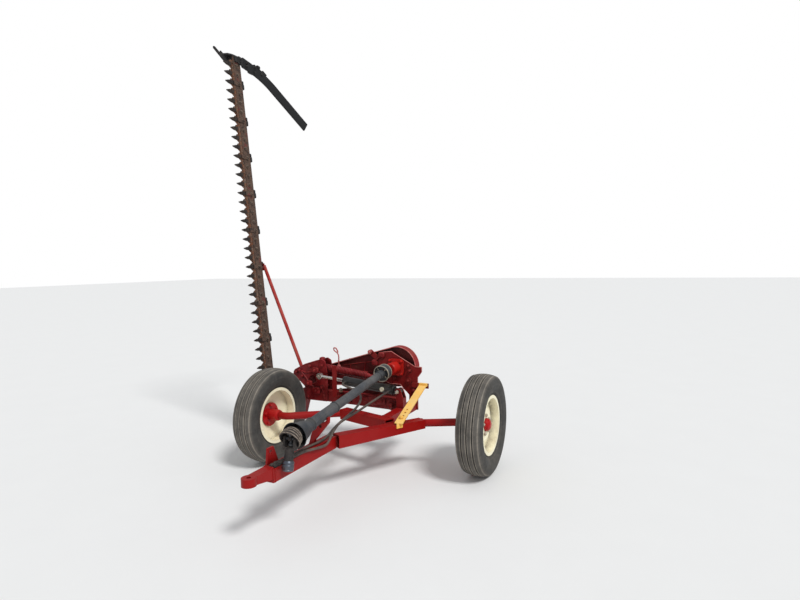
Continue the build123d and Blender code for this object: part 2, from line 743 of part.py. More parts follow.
cone_end = shaft_length - CONE_SHORT
front_cone = flare([
    (cone_end - 130, FRONT_TUBE_R + SEAT, FRONT_TUBE_R + 4),
    (cone_end - 90, FRONT_TUBE_R + SEAT, FRONT_TUBE_R + 6),
    (cone_end - 50, CROSS_REACH + 10, CROSS_REACH + 13), (cone_end, CONE_R - 4, CONE_R),
])
front_cone.part.label = "shaft_front_cone"
export_step(front_cone.part, "parts/shaft_front_cone.step")

# The yoke that hangs from the front cross, with the bore for a tractor's splined shaft
yoke_run = Vector(
    shaft.x_dir.Y * sin(radians(YOKE_TILT)), -shaft.x_dir.X * sin(radians(YOKE_TILT)),
    -cos(radians(YOKE_TILT)),
)


def on_yoke(t):
    """A plane across the yoke at t from the front joint, facing down along it."""
    return Plane(origin=front_centre + yoke_run * t, x_dir=shaft.x_dir, z_dir=yoke_run)


with BuildPart() as yoke:
    with BuildSketch(on_yoke(YOKE_NECK)):
        Circle(YOKE_R)
    extrude(amount=YOKE_DROP - YOKE_NECK)
    with BuildSketch(on_yoke(YOKE_NECK - 8)):
        Rectangle(2 * CROSS_REACH, 32)
    extrude(amount=14)
    for side in (-1, 1):
        ear = Plane(
            origin=front_centre + shaft.x_dir * (side * FORK_IN),
            x_dir=yoke_run,
            z_dir=shaft.x_dir * side,
        )
        with BuildSketch(ear):
            Circle(16)
            with Locations((YOKE_NECK / 2, 0)):
                Rectangle(YOKE_NECK, 32)
            Circle(CROSS_PIN_R + RUN, mode=Mode.SUBTRACT)
        extrude(amount=FORK_T)
    with BuildSketch(on_yoke(YOKE_DROP)):
        Circle(SPLINE_R)
    extrude(amount=-SPLINE_L, mode=Mode.SUBTRACT)
yoke.part.label = "shaft_yoke"
export_step(yoke.part, "parts/shaft_yoke.step")

# The lift arm: a pressed channel, open to the rear, from the pivot to the hinge yoke
with BuildPart() as arm:
    for radius_cut, depth, mode in (
        (0, ARM_DEPTH, Mode.ADD), (ARM_WALL, ARM_DEPTH - ARM_WALL, Mode.SUBTRACT),
    ):
        with BuildSketch(facing(ARM_FRONT + ARM_DEPTH)):
            add(link((PIVOT_X, PIVOT_Z), 45 - radius_cut, (ELBOW_X, ELBOW_Z), 42 - radius_cut))
            add(link((ELBOW_X, ELBOW_Z), 42 - radius_cut, (ARM_END_X, ARM_END_Z), 38 - radius_cut))
        extrude(amount=depth, mode=mode)
    with BuildSketch(facing(ARM_FRONT + ARM_DEPTH, PIVOT_X, PIVOT_Z)):
        Circle(PIVOT_R + 14)
    extrude(amount=ARM_DEPTH)
    with BuildSketch(facing(ARM_FRONT + ARM_DEPTH, PIVOT_X, PIVOT_Z)):
        Circle(PIVOT_R + RUN)
    extrude(amount=ARM_DEPTH, mode=Mode.SUBTRACT)
    split(bisect_by=beside(YOKE_BEAM[1]), keep=Keep.TOP)
arm.part.label = "lift_arm"
export_step(arm.part, "parts/lift_arm.step")

# The casting on the arm: two cheeks that hold the rod's eye, the spring and the strut
cheek_rear = ARM_FRONT + ARM_DEPTH + CHEEK_T
CHEEK = [
    (-560, 372), (-556, 600), (-572, 690), (-600, 706), (-660, 690), (-769, 655), (-870, 604),
    (-884, 574), (-770, 480), (-745, 372),
]
with BuildPart() as casting:
    for rear in (ARM_FRONT, cheek_rear):
        with BuildSketch(facing(rear)):
            add(outline_of(CHEEK, [((-690, 540), 36)]))
        extrude(amount=CHEEK_T)
    for centre, radius in (((-790, 560), 14), ((-600, 480), 14), (SPRING_OUT, 8), (STRUT_FOOT, 10)):
        with BuildSketch(facing(cheek_rear, *centre)):
            Circle(radius)
        extrude(amount=ARM_DEPTH + CHEEK_T)
    with BuildSketch(facing(ARM_FRONT - CHEEK_T)):
        with Locations((-721, 506)):
            Circle(27)
        with Locations((-655, 618)):
            Circle(22)
        with Locations((-651, 454)):
            Rectangle(70, 50)
    extrude(amount=16)
    with BuildSketch(facing(ARM_FRONT - CHEEK_T, *EYE)):
        Circle(CYLINDER_PIN_R)
    extrude(amount=ARM_FRONT - CHEEK_T - CYLINDER_Y + 20)
casting.part.label = "lift_casting"
export_step(casting.part, "parts/lift_casting.step")

with BuildPart() as head:
    with BuildSketch(facing(SHIELD_FRONT - 8, SMALL_X, SMALL_Z + 25)):
        Circle(56)
    extrude(amount=SHIELD_FRONT - 8 - cheek_rear)
    chamfer(head.edges().group_by(Axis.Y)[-1], 8)
head.part.label = "drive_head"
export_step(head.part, "parts/drive_head.step")

with BuildPart() as lever:
    with BuildSketch(facing(160)):
        with Locations((-420, 560)):
            Rectangle(38, 250)
    extrude(amount=8)
    with BuildSketch(level(435, -420, 160)):
        with Locations((0, (ARM_FRONT - 160) / 2)):
            Rectangle(38, ARM_FRONT - 160)
    extrude(amount=8)
    with BuildSketch(facing(ARM_FRONT)):
        with Locations((-420, 415)):
            Rectangle(38, 56)
    extrude(amount=8)
lever.part.label = "tilt_lever"
export_step(lever.part, "parts/tilt_lever.step")

# The hinge yoke at the arm's end, with the pin that the inner shoe folds about
yoke_mid = (YOKE_BEAM[0] + YOKE_BEAM[1]) / 2
with BuildPart() as hinge_yoke:
    with BuildSketch(facing(YOKE_REAR)):
        with Locations((yoke_mid, YOKE_BOTTOM + YOKE_H / 2)):
            Rectangle(YOKE_BEAM[1] - YOKE_BEAM[0], YOKE_H)
    extrude(amount=YOKE_REAR - YOKE_FRONT)
    for rear in (YOKE_FRONT + YOKE_EAR_T, YOKE_REAR):
        with BuildSketch(facing(rear)):
            add(link((HINGE_X, HINGE_Z), 30, (YOKE_BEAM[1] - 30, YOKE_BOTTOM + YOKE_H / 2), 30))
        extrude(amount=YOKE_EAR_T)
    with BuildSketch(facing(YOKE_REAR + 8, HINGE_X, HINGE_Z)):
        Circle(HINGE_R)
    extrude(amount=YOKE_REAR - YOKE_FRONT + 16)
hinge_yoke.part.label = "hinge_yoke"
export_step(hinge_yoke.part, "parts/hinge_yoke.step")

# The runner that the folded mower stands on, a bent strip on a rib under the yoke's beam
RUNNER_T = 10
RUNNER_OUT = 10  # how far the strip stands out past the beam on each side
runner_ends = (YOKE_FRONT - 12, YOKE_REAR + 12)
with BuildPart() as runner:
    with BuildSketch(beside(YOKE_BEAM[0] - RUNNER_OUT)):
        add(outline_of([
            (runner_ends[0], 48), (runner_ends[0] + 32, 0), (runner_ends[1] - 32, 0), (runner_ends[1], 48),
            (runner_ends[1] - 12, 48), (runner_ends[1] - 38, RUNNER_T), (runner_ends[0] + 38, RUNNER_T),
            (runner_ends[0] + 12, 48),
        ]))
    extrude(amount=YOKE_BEAM[1] - YOKE_BEAM[0] + 2 * RUNNER_OUT)
    with BuildSketch(beside(YOKE_BEAM[0] + 10)):
        with Locations(((YOKE_FRONT + YOKE_REAR) / 2, (RUNNER_T + YOKE_BOTTOM) / 2)):
            Rectangle(150, YOKE_BOTTOM - RUNNER_T)
    extrude(amount=12)
runner.part.label = "ground_runner"
export_step(runner.part, "parts/ground_runner.step")

# The lift cylinder
cylinder_run = ((ANCHOR[0], CYLINDER_Y, ANCHOR[1]), (EYE[0], CYLINDER_Y, EYE[1]))
cylinder_length = hypot(EYE[0] - ANCHOR[0], EYE[1] - ANCHOR[1])
with BuildPart() as barrel:
    with BuildSketch(toward(*cylinder_run, BARREL_START)):
        Circle(BARREL_R)
    extrude(amount=BARREL_END - BARREL_START)
    with BuildSketch(toward(*cylinder_run, BARREL_START + 20)):
        Circle(BARREL_BORE)
    extrude(amount=BARREL_END - BARREL_START - 36, mode=Mode.SUBTRACT)
    with BuildSketch(toward(*cylinder_run, BARREL_END - 30)):
        Circle(ROD_R + RUN)
    extrude(amount=40, mode=Mode.SUBTRACT)
    with BuildSketch(toward(*cylinder_run)):
        Rectangle(ANCHOR_EYE_W, 36)
    extrude(amount=BARREL_START)
    with BuildSketch(facing(CYLINDER_Y + ANCHOR_EYE_W / 2, *ANCHOR)):
        Circle(22)
    extrude(amount=ANCHOR_EYE_W)
    for place in PORTS:
        port = toward(*cylinder_run, place).origin
        with BuildSketch(Plane(port - Vector(0, BARREL_BORE + 2, 0), x_dir=(1, 0, 0), z_dir=(0, -1, 0))):
            Circle(PORT_R)
        extrude(amount=PORT_OUT - BARREL_BORE - 2)
    with BuildSketch(facing(CYLINDER_Y + ANCHOR_EYE_W / 2, *ANCHOR)):
        Circle(CYLINDER_PIN_R + RUN)
    extrude(amount=ANCHOR_EYE_W, mode=Mode.SUBTRACT)
barrel.part.label = "cylinder_barrel"
export_step(barrel.part, "parts/cylinder_barrel.step")

PISTON = 280
with BuildPart() as rod:
    with BuildSketch(toward(*cylinder_run, PISTON)):
        Circle(ROD_R)
    extrude(amount=cylinder_length - PISTON - 16)
    with BuildSketch(toward(*cylinder_run, PISTON)):
        Circle(BARREL_BORE - RUN)
    extrude(amount=24)
    with BuildSketch(facing(CYLINDER_Y + EYE_W / 2, *EYE)):
        Circle(24)
        Circle(CYLINDER_PIN_R + EYE_PLAY, mode=Mode.SUBTRACT)
    extrude(amount=EYE_W)
rod.part.label = "cylinder_rod"
export_step(rod.part, "parts/cylinder_rod.step")

# The float spring between the stand's lug and the casting
spring_run = ((SPRING_IN[0], SPRING_Y, SPRING_IN[1]), (SPRING_OUT[0], SPRING_Y, SPRING_OUT[1]))
spring_length = hypot(SPRING_OUT[0] - SPRING_IN[0], SPRING_OUT[1] - SPRING_IN[1])
with BuildPart() as spring:
    with BuildSketch(toward(*spring_run, 60)):
        Circle(SPRING_R)
    extrude(amount=spring_length - 120)
    with BuildSketch(toward(*spring_run, 0)):
        Circle(6)
    extrude(amount=spring_length - 8 - SEAT)
spring.part.label = "float_spring"
export_step(spring.part, "parts/float_spring.step")

# The strut that holds the bar up, a pin at its top end in the bar's open catch
strut_top = bar_plane(STRUT_TOP_S, 0, CATCH_Z).origin
strut_top = (strut_top.X - MIDWAY_X, STRUT_Y, strut_top.Z)
strut_low = (STRUT_FOOT[0], STRUT_Y, STRUT_FOOT[1])
strut_length = hypot(strut_top[0] - strut_low[0], strut_top[2] - strut_low[2])
with BuildPart() as strut:
    with BuildSketch(toward(strut_low, strut_top, 16)):
        Circle(STRUT_R)
    extrude(amount=strut_length - 2)
    with BuildSketch(facing(STRUT_Y + 20, *STRUT_FOOT)):
        Circle(24)
    extrude(amount=40)
    with BuildSketch(facing(STRUT_Y + 20, *STRUT_FOOT)):
        Circle(10 + RUN)
    extrude(amount=40, mode=Mode.SUBTRACT)
    with BuildSketch(facing(STRUT_Y, strut_top[0], strut_top[2])):
        Circle(7)
    extrude(amount=STRUT_Y - BAR_Y + BAR_BACK - SEAT)
strut.part.label = "transport_rod"
export_step(strut.part, "parts/transport_rod.step")

# The cutter bar: one guard first, in the bar's own frame at s = 0
guard_side = [
    (-12, BAR_Z), (-12, BAR_Z - 10), (60, BAR_Z - 12), (GUARD_TIP, BAR_Z - 4), (GUARD_TIP, BAR_Z),
    (SECTION_TIP + 12, BAR_Z + 12), (62, BAR_Z + 15), (62, BAR_Z + 6.5), (SECTION_TIP + 6, BAR_Z + 6.5),
    (SECTION_TIP + 6, BAR_Z + 1), (BAR_EDGE + 1, BAR_Z + 1), (BAR_EDGE + 1, BAR_Z),
]
guard_top = [(GUARD_HALF, -12), (GUARD_HALF, 36), (15, 50), (12, SECTION_TIP), (3, GUARD_TIP)]
with BuildPart() as guard:
    with BuildSketch(Plane.YZ):
        add(outline_of(guard_side))
    extrude(amount=40, both=True)
    with BuildSketch(Plane.XY.offset(-100)):
        add(outline_of(guard_top + [(-a, b) for a, b in reversed(guard_top)]))
    extrude(amount=100, mode=Mode.INTERSECT)

with BuildPart() as cutter_bar:
    with BuildSketch(bar_plane(0, 0, BAR_Z)):
        with Locations(((BAR_IN + BAR_OUT) / 2, (BAR_BACK + BAR_EDGE) / 2)):
            Rectangle(BAR_OUT - BAR_IN, BAR_EDGE - BAR_BACK)
    extrude(amount=BAR_T)
    with Locations(*[bar_plane(s) for s in guard_places]):
        add(guard.part)
cutter_bar.part.label = "cutter_bar"
export_step(cutter_bar.part, "parts/cutter_bar.step")

# The knife at the outer end of its stroke: its back, and a section over each guard
KNIFE_IN = 130
with BuildPart() as knife:
    with BuildSketch(bar_plane(0, 0, KNIFE_Z + SECTION_T)):
        with Locations(((KNIFE_IN + guard_places[-1]) / 2, 45)):
            Rectangle(guard_places[-1] - KNIFE_IN, 22)
    extrude(amount=6)
    with BuildSketch(bar_plane(0, 0, KNIFE_Z)):
        with Locations(*[(s, 0) for s in guard_places]):
            add(outline_of([
                (-37.5, 34), (37.5, 34), (37.5, 60), (6, SECTION_TIP), (-6, SECTION_TIP), (-37.5, 60),
            ]))
    extrude(amount=SECTION_T)
knife.part.label = "knife"
export_step(knife.part, "parts/knife.step")

with BuildPart() as clips:
    for s in guard_places[1::4]:
        with BuildSketch(bar_section(s - 16)):
            add(outline_of([
                (-20, BAR_Z + 12), (30, BAR_Z + 12), (34, BAR_Z + 14), (58, BAR_Z + 14), (58, BAR_Z + 20),
                (30, BAR_Z + 20), (-20, BAR_Z + 18),
            ]))
        extrude(amount=32)
clips.part.label = "knife_clips"
export_step(clips.part, "parts/knife_clips.step")

# The inner shoe, hinged to the yoke
LUG_T = 25
lug_front = BAR_Y - YOKE_FRONT - YOKE_EAR_T - 5
lug_rear = BAR_Y - YOKE_REAR + YOKE_EAR_T + 5 + LUG_T
with BuildPart() as inner_shoe:
    with BuildSketch(bar_section(-40)):
        add(outline_of([
            (-132, -110), (-125, -125), (112, -125), (170, -92), (165, -84), (108, -113), (-120, -113),
            (-128, -106),
        ]))
    extrude(amount=370)
    with BuildSketch(bar_plane(0, 0, -113)):
        with Locations((120, -10)):
            Rectangle(160, 80)
    extrude(amount=BAR_Z + 113)
    for y in (lug_front, lug_rear):
        with BuildSketch(bar_side(y)):
            Circle(28)
            with Locations((10, -105)):
                Rectangle(60, 16)
            make_hull()
            Circle(HINGE_R + RUN, mode=Mode.SUBTRACT)
        extrude(amount=LUG_T)
inner_shoe.part.label = "inner_shoe"
export_step(inner_shoe.part, "parts/inner_shoe.step")

with BuildPart() as outer_shoe:
    with BuildSketch(bar_section(BAR_OUT - 39)):
        add(outline_of([
            (-90, -100), (-80, -118), (96, -118), (142, -98), (138, -88), (92, -108), (-76, -108),
            (-84, -96),
        ]))
    extrude(amount=50)
    with BuildSketch(bar_plane(0, 0, -101)):
        add(outline_of([
            (BAR_OUT - 70, 92), (BAR_OUT - 50, 80), (BAR_OUT + 23, 198), (BAR_OUT + 23, 212),
            (BAR_OUT + 10, 212),
        ]))
    extrude(amount=12)
    with BuildSketch(bar_plane(0, 0, -108)):
        with Locations((BAR_OUT - 20, (BAR_BACK + BAR_EDGE) / 2)):
            Rectangle(38, BAR_EDGE - BAR_BACK)
    extrude(amount=BAR_Z + 108)
    with BuildSketch(bar_section(BAR_OUT + SEAT)):
        add(outline_of([(-60, -112), (90, -112), (70, -80), (30, -66), (-60, -66)]))
    extrude(amount=12)
outer_shoe.part.label = "outer_shoe"
export_step(outer_shoe.part, "parts/outer_shoe.step")

with BuildPart() as catch:
    with BuildSketch(bar_side(BAR_BACK)):
        with Locations((STRUT_TOP_S, CATCH_Z - 3)):
            Rectangle(60, 50)
        with Locations((STRUT_TOP_S, CATCH_Z)):
            Circle(9, mode=Mode.SUBTRACT)
        with Locations((STRUT_TOP_S, CATCH_Z + 15)):
            Rectangle(18, 30, mode=Mode.SUBTRACT)
    extrude(amount=10)
catch.part.label = "rod_catch"
export_step(catch.part, "parts/rod_catch.step")

# The swath board on its bracket
PAD_T = 12
strip = bar_plane(BAR_OUT - 25, -15, BAR_Z + BAR_T + PAD_T + 2).origin
strip_start = (strip.X - MIDWAY_X, strip.Y - MIDWAY_Y, strip.Z)
board_top = [a + b for a, b in zip(strip_start, BOARD_REACH)]
board_end = [a + b for a, b in zip(board_top, BOARD_FALL)]
strip_length = Vector(*BOARD_REACH).length
with BuildPart() as bracket:
    with BuildSketch(bar_plane(BAR_OUT - 25, -15, BAR_Z + BAR_T)):
        Rectangle(44, 70)
    extrude(amount=PAD_T)
    with BuildSketch(toward(strip_start, board_top)):
        Rectangle(14, 58)
    with BuildSketch(toward(strip_start, board_top, strip_length)):
        Rectangle(14, BOARD_W)
    loft()
    with BuildSketch(toward(board_top, board_end, -26)):
        Rectangle(34, BOARD_W - 8)
    extrude(amount=52)
    with BuildSketch(toward(strip_start, board_top, strip_length - 84)):
        with Locations((0, BOARD_W / 2)):
            Rectangle(22, 44)
    extrude(amount=26)
bracket.part.label = "board_bracket"
export_step(bracket.part, "parts/board_bracket.step")

with BuildPart() as board:
    with BuildSketch(toward(board_top, board_end, 26)):
        Rectangle(BOARD_T, BOARD_W)
    extrude(amount=Vector(*BOARD_FALL).length - 26)
board.part.label = "swath_board"
export_step(board.part, "parts/swath_board.step")


# The two hydraulic hoses, along the tongue's top and up to the cylinder's two ports
HOSE_R = 8
HOSE_LAST = 54
low = tongue_top + HOSE_R + SEAT
port_front = CYLINDER_Y - PORT_OUT
ports = []
for place in PORTS:
    share = place / cylinder_length
    ports.append([ANCHOR[i] + share * (EYE[i] - ANCHOR[i]) for i in (0, 1)])
(base_x, base_z), (rod_x, rod_z) = ports
HOSES = {
    "hose_base": [
        (8, -1080, low), (12, -970, low), (22, -880, low + 5), (33, -790, 379), (31, -700, 364),
        (31, -632, 362), (28, -575, 415), (25, -500, 452), (31, -415, 466), (34, -280, 474),
        (44, -150, 494), (56, -20, 514), (base_x, port_front - HOSE_LAST, base_z),
        (base_x, port_front, base_z),
    ],
    "hose_rod": [
        (-14, -1080, low), (-9, -940, low), (-14, -815, low), (-2, -690, low), (2, -600, low + 6),
        (2, -510, 428), (6, -400, 456), (2, -270, 476), (-16, -140, 504), (-74, -30, 530),
        (-160, 26, 545), (-250, 62, 553), (rod_x, port_front - HOSE_LAST, rod_z),
        (rod_x, port_front, rod_z),
    ],
}


def hose(name, points):
    """A round hose along straight runs that arcs join, each arc as large as its runs allow."""
    places = [spot(*p) for p in points]
    runs = [b - a for a, b in zip(places, places[1:])]
    radii = [
        0.45 * min(a.length, b.length) / tan(radians(a.get_angle(b)) / 2)
        for a, b in zip(runs, runs[1:])
    ]
    with BuildPart() as tube:
        with BuildLine() as path:
            FilletPolyline(*places, radius=radii)
        with BuildSketch(toward(points[0], points[1])):
            Circle(HOSE_R)
        sweep(path=path.wires()[0])
    print(name, "radii", [round(r) for r in radii], "length", round(path.wires()[0].length))
    tube.part.label = name
    export_step(tube.part, f"parts/{name}.step")


for name, points in HOSES.items():
    hose(name, points)
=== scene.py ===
import math
from functools import cached_property

import bmesh
import bpy
import numpy as np
from mathutils import Matrix, Vector


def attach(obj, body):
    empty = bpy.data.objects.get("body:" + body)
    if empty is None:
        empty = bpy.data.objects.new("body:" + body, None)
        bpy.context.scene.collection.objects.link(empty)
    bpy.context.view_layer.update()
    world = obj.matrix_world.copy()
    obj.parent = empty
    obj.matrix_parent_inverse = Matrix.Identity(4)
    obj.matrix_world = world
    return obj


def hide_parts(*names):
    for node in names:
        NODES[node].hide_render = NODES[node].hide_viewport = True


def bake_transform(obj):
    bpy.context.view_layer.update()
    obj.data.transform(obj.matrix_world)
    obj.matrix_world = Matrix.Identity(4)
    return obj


bl_info = {
    "name": "Sickle Bar Mower",
    "version": (1, 0, 0),
    "blender": (4, 5, 0),
    "location": "3D View > Sidebar > Mower",
    "description": "Tyres, hoses, fasteners and weathered finishes of a trailed sickle bar mower",
    "category": "Object",
}

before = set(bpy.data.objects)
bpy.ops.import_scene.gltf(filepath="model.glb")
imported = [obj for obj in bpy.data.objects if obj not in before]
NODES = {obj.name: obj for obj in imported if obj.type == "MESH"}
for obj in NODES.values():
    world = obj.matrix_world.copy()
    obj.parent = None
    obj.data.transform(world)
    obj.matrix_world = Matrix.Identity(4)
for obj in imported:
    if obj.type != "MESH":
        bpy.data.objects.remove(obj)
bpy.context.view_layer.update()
MM = 0.001

# The machine's own places, in mm from the ground midway between its wheels: x to its left,
# y to its rear and z up. The model's origin is below the middle of the whole machine.
MIDWAY = np.array([271.0, 113.0, 0.0])
FORWARDS, REARWARDS, UPWARDS = (0, -1, 0), (0, 1, 0), (0, 0, 1)
ARM_FRONT, CASTING_FRONT, CASTING_REAR = 262, 250, 344
STAND_FRONT, STAND_REAR, SHIELD_REAR = 404, 416, 491.5

# Each wheel's outward side and the middle of its tyre
WHEELS = {"left": (1, (770, 185, 350)), "right": (-1, (-770, -185, 350))}

REAR_JOINT, FRONT_JOINT = (0, 200, 662), (60, -1040, 520)
SHAFT_RUN = np.subtract(FRONT_JOINT, REAR_JOINT)
SHAFT_LENGTH = float(np.linalg.norm(SHAFT_RUN))
SHAFT_RUN = SHAFT_RUN / SHAFT_LENGTH
YOKE_RUN = np.array([0.01004, -0.20766, -0.97815])
# Profiles, in mm: place along the axis and radius
CUP = [
    (-10, 51), (-10, 56), (24, 57), (48, 59), (58, 61), (61, 59.5), (60, 57), (44, 55),
    (41.5, 53), (41, 30), (37, 30), (36.5, 52), (20, 51.5),
]
YOKE_COLLAR = [
    (118, 25), (118, 27.5), (122, 29), (128, 31.5), (134, 32), (136, 30.5), (139, 30.5),
    (141, 32), (160, 32), (163, 30.5), (166, 30.5), (168, 32), (172, 31), (174.5, 28),
    (174.5, 20), (171, 20), (171, 25),
]

# The cutter bar: its hinge, its lean, its underside's height in work and its guards' places
HINGE = (-985, 200, 140)
LEAN = math.radians(5.6)
BAR_OUT = np.array([-math.sin(LEAN), 0, math.cos(LEAN)])
BAR_UP = np.array([math.cos(LEAN), 0, math.sin(LEAN)])
BAR_Z = -76
GUARDS = 350 + 76.2 * np.arange(36)
BOARD = (-1334.3, 215, 3190.5), (-1379.3, 569, 3163.5), (-1296.3, 1095, 2812.5)

CASTING_EDGE = [
    (-560, 372), (-556, 600), (-572, 690), (-600, 706), (-660, 690), (-769, 655), (-870, 604),
    (-884, 574), (-770, 480), (-745, 372),
]
# Radius and line, in x and z, of each rib on the casting's front
CASTING_RIBS = [
    (8, [(-721, 506), (-770, 560), (-816, 607)]),
    (7, [(-655, 618), (-700, 600), (-760, 590), (-816, 607)]),
    (7, [(-655, 618), (-640, 660), (-625, 692)]),
    (9, [(-655, 618), (-600, 582)]),
    (8, [(-721, 506), (-690, 478), (-651, 454)]),
    (7, [(-610, 480), (-585, 430), (-580, 380)]),
]
# Radius and line of the stand's edges, pale with wear and a painted highlight, and of the panel's
# ribs
STAND_EDGES = [
    (3.4, [(215, 636), (215, 674), (165, 671), (-45, 782), (-120, 772), (-146, 738)]),
    (3.2, [(-150, 560), (-60, 525), (31, 525), (75, 480)]),
    (3.2, [(180, 350), (180, 590), (215, 636)]),
]
PANEL_RIBS = [
    (4.5, [(-205, 690), (-560, 628)]), (4.5, [(-190, 610), (-560, 560)]),
    (4, [(-300, 676), (-315, 590)]), (4, [(-440, 650), (-452, 574)]),
]
PANEL_RIVETS = [
    (-225, 735), (-330, 712), (-450, 690), (-560, 668), (-240, 575), (-360, 555), (-470, 536),
]
HANDLE_LOOP = [
    (-546, 423, 700), (-548, 423, 722), (-560, 423, 738), (-584, 423, 752), (-596, 423, 766),
    (-590, 423, 780), (-572, 423, 778), (-560, 423, 760), (-552, 423, 742),
]
STIFFENER_TOP = [
    (60, 452), (20, 470), (-60, 476), (-160, 482), (-300, 485), (-400, 473), (-500, 458),
    (-560, 452),
]
CYLINDER_FOOT, CYLINDER_EYE = (120, 205, 522), (-590, 205, 582)
CYLINDER_GLAND = [
    (452, 33), (452, 37.6), (455, 38.6), (474, 38.6), (477, 37.4), (482, 37), (484, 34),
    (484, 20), (487, 19.5), (487, 13), (452, 13),
]
CYLINDER_TAIL = [(40, 20), (40, 35), (43, 37.6), (62, 37.8), (65, 36.2), (66, 33), (66, 20)]
PIN_END = [(0, 0), (0, 12), (7, 12), (9, 10), (9, 0)]
PORT_CAP = [(-6, 0), (-6, 13), (2, 13), (3, 16.5), (13, 16.5), (15, 15), (15.5, 9), (14, 0)]
SPRING_IN, SPRING_OUT = (-145, 297, 592), (-712, 297, 648)

# Each hose's length in metres, the point of its route from which it follows the cylinder,
# and its route
HOSES = {
    "hose_base": (1.268, 3, [
        (62.2, 160, 526.9), (62.2, 106, 526.9), (56, -20, 514), (44, -150, 494),
        (34, -280, 474), (31, -415, 466), (25, -500, 452), (28, -575, 415), (31, -632, 362),
        (31, -700, 364), (33, -790, 379), (22, -880, 389.3), (12, -970, 384.3),
        (8, -1080, 384.3),
    ]),
    "hose_rod": (1.415, 6, [
        (-328.4, 160, 559.9), (-328.4, 106, 559.9), (-250, 62, 553), (-160, 26, 545),
        (-74, -30, 530), (-16, -140, 504), (2, -270, 476), (6, -400, 456), (2, -510, 428),
        (2, -600, 390.3), (-2, -690, 384.3), (-14, -815, 384.3), (-9, -940, 384.3),
        (-14, -1080, 384.3),
    ]),
}
PORT_END = [(-4, 0), (-4, 11.5), (4, 11.5), (5, 9.5), (30, 9.8), (32, 8.8), (32, 0)]
VALVE_STEM = [
    (-4, 0), (-4, 9), (4, 7.5), (10, 4.8), (26, 4.2), (27, 5.2), (36, 5), (38, 3), (38, 0),
]
CROSS_CAP = [(-2, 0), (-2, 11.5), (1.5, 11.5), (3.2, 10), (3.2, 5), (2.2, 4), (2.2, 0)]
GREASE_NIPPLE = [(0, 0), (0, 4), (5, 4), (6, 2.6), (10, 2.6), (11, 3.6), (14, 2), (14, 0)]
SPRING_PLUG = np.array([(0, 0), (0, 10), (30, 13), (50, 21), (85, 21.5), (85, 0)], float)
# Height in metres, middle and width of the rings round a tyre's wall, as shares of the wall
WALL_RINGS = [(0.0018, 0.16, 0.022), (0.0010, 0.60, 0.016), (0.0012, 0.90, 0.020)]
COUPLER = [
    (-30, 0), (-30, 9.2), (-2, 9.8), (0, 12.5), (14, 12.5), (15, 9.5), (30, 9.5), (31, 11.5),
    (40, 11.5), (44, 7.5), (52, 7), (53, 0),
]

# Fasteners: body, finish, facing, width across the head, washer, stud, places
FASTENERS = [
    ("frame", "housing_red", FORWARDS, 19, True, 3,
     [(-50, 390, 612), (-50, 390, 712), (50, 390, 612), (50, 390, 712)]),
    ("frame", "strap_yellow", UPWARDS, 24, False, 2, [(267, -70, 407.5)]),
    ("frame", "bolt_steel", FORWARDS, 26, False, 3, [(120, 170.5, 522)]),
    ("frame", "lift_red", FORWARDS, 36, True, 4, [(40, 227, 400)]),
    ("frame", "lift_red", FORWARDS, 22, True, 4, [
        (-14, STAND_FRONT, 575), (118, STAND_FRONT, 640), (150, STAND_FRONT, 430),
        (150, STAND_FRONT, 490), (104, STAND_FRONT, 676), (-110, STAND_FRONT, 640),
        (107, 390, 560)]),
    ("frame", "worn_edge_red", FORWARDS, 17, True, 2, [(-232, 390, 768)]),
    ("frame", "mower_red", REARWARDS, 22, True, 4,
     [(135, STAND_REAR, 360), (150, STAND_REAR, 430), (150, STAND_REAR, 490)]),
    ("frame", "shield_red", REARWARDS, 17, True, 3, [
        (-60, SHIELD_REAR, 662), (60, SHIELD_REAR, 662), (0, SHIELD_REAR, 722),
        (0, SHIELD_REAR, 602), (-800, SHIELD_REAR, 548), (-800, SHIELD_REAR, 492)]),
    ("lift", "lift_red", FORWARDS, 24, True, 4,
     [(-790, CASTING_FRONT, 560), (-600, CASTING_FRONT, 480)]),
    ("lift", "lift_red", FORWARDS, 26, True, 5, [(-721, 229, 506), (-655, 229, 618)]),
    ("lift", "lift_red", FORWARDS, 15, False, 3, [(-651, 229, 454), (-625, 230, 470)]),
    ("lift", "lift_red", FORWARDS, 19, True, 3, [
        (-580, CASTING_FRONT, 420), (-595, CASTING_FRONT, 660), (-735, CASTING_FRONT, 392),
        (-850, CASTING_FRONT, 590)]),
    ("lift", "mower_red", FORWARDS, 19, True, 3, [(-420, 254, 432), (-420, 254, 402)]),
    ("lift", "lift_red", FORWARDS, 22, True, 3,
     [(-712, CASTING_FRONT, 648), (-816, CASTING_FRONT, 607)]),
    ("lift", "mower_red", FORWARDS, 19, True, 3, [
        (-480, ARM_FRONT, 432), (-300, ARM_FRONT, 430), (-340, ARM_FRONT, 388),
        (-860, ARM_FRONT, 300), (-860, ARM_FRONT, 240)]),
    ("lift", "mower_red", REARWARDS, 24, True, 5, [
        (-790, CASTING_REAR, 560), (-600, CASTING_REAR, 480), (-712, CASTING_REAR, 648),
        (-816, CASTING_REAR, 607)]),
    ("lift", "mower_red", REARWARDS, 15, True, 2, [
        (-800 + 42 * math.cos(turn), 412, 545 + 42 * math.sin(turn))
        for turn in np.arange(6) * math.pi / 3]),
    ("lift", "mower_red", FORWARDS, 40, True, 6, [(-985, 100, 140)]),
    ("lift", "mower_red", REARWARDS, 40, True, 6, [(-985, 354, 140)]),
]

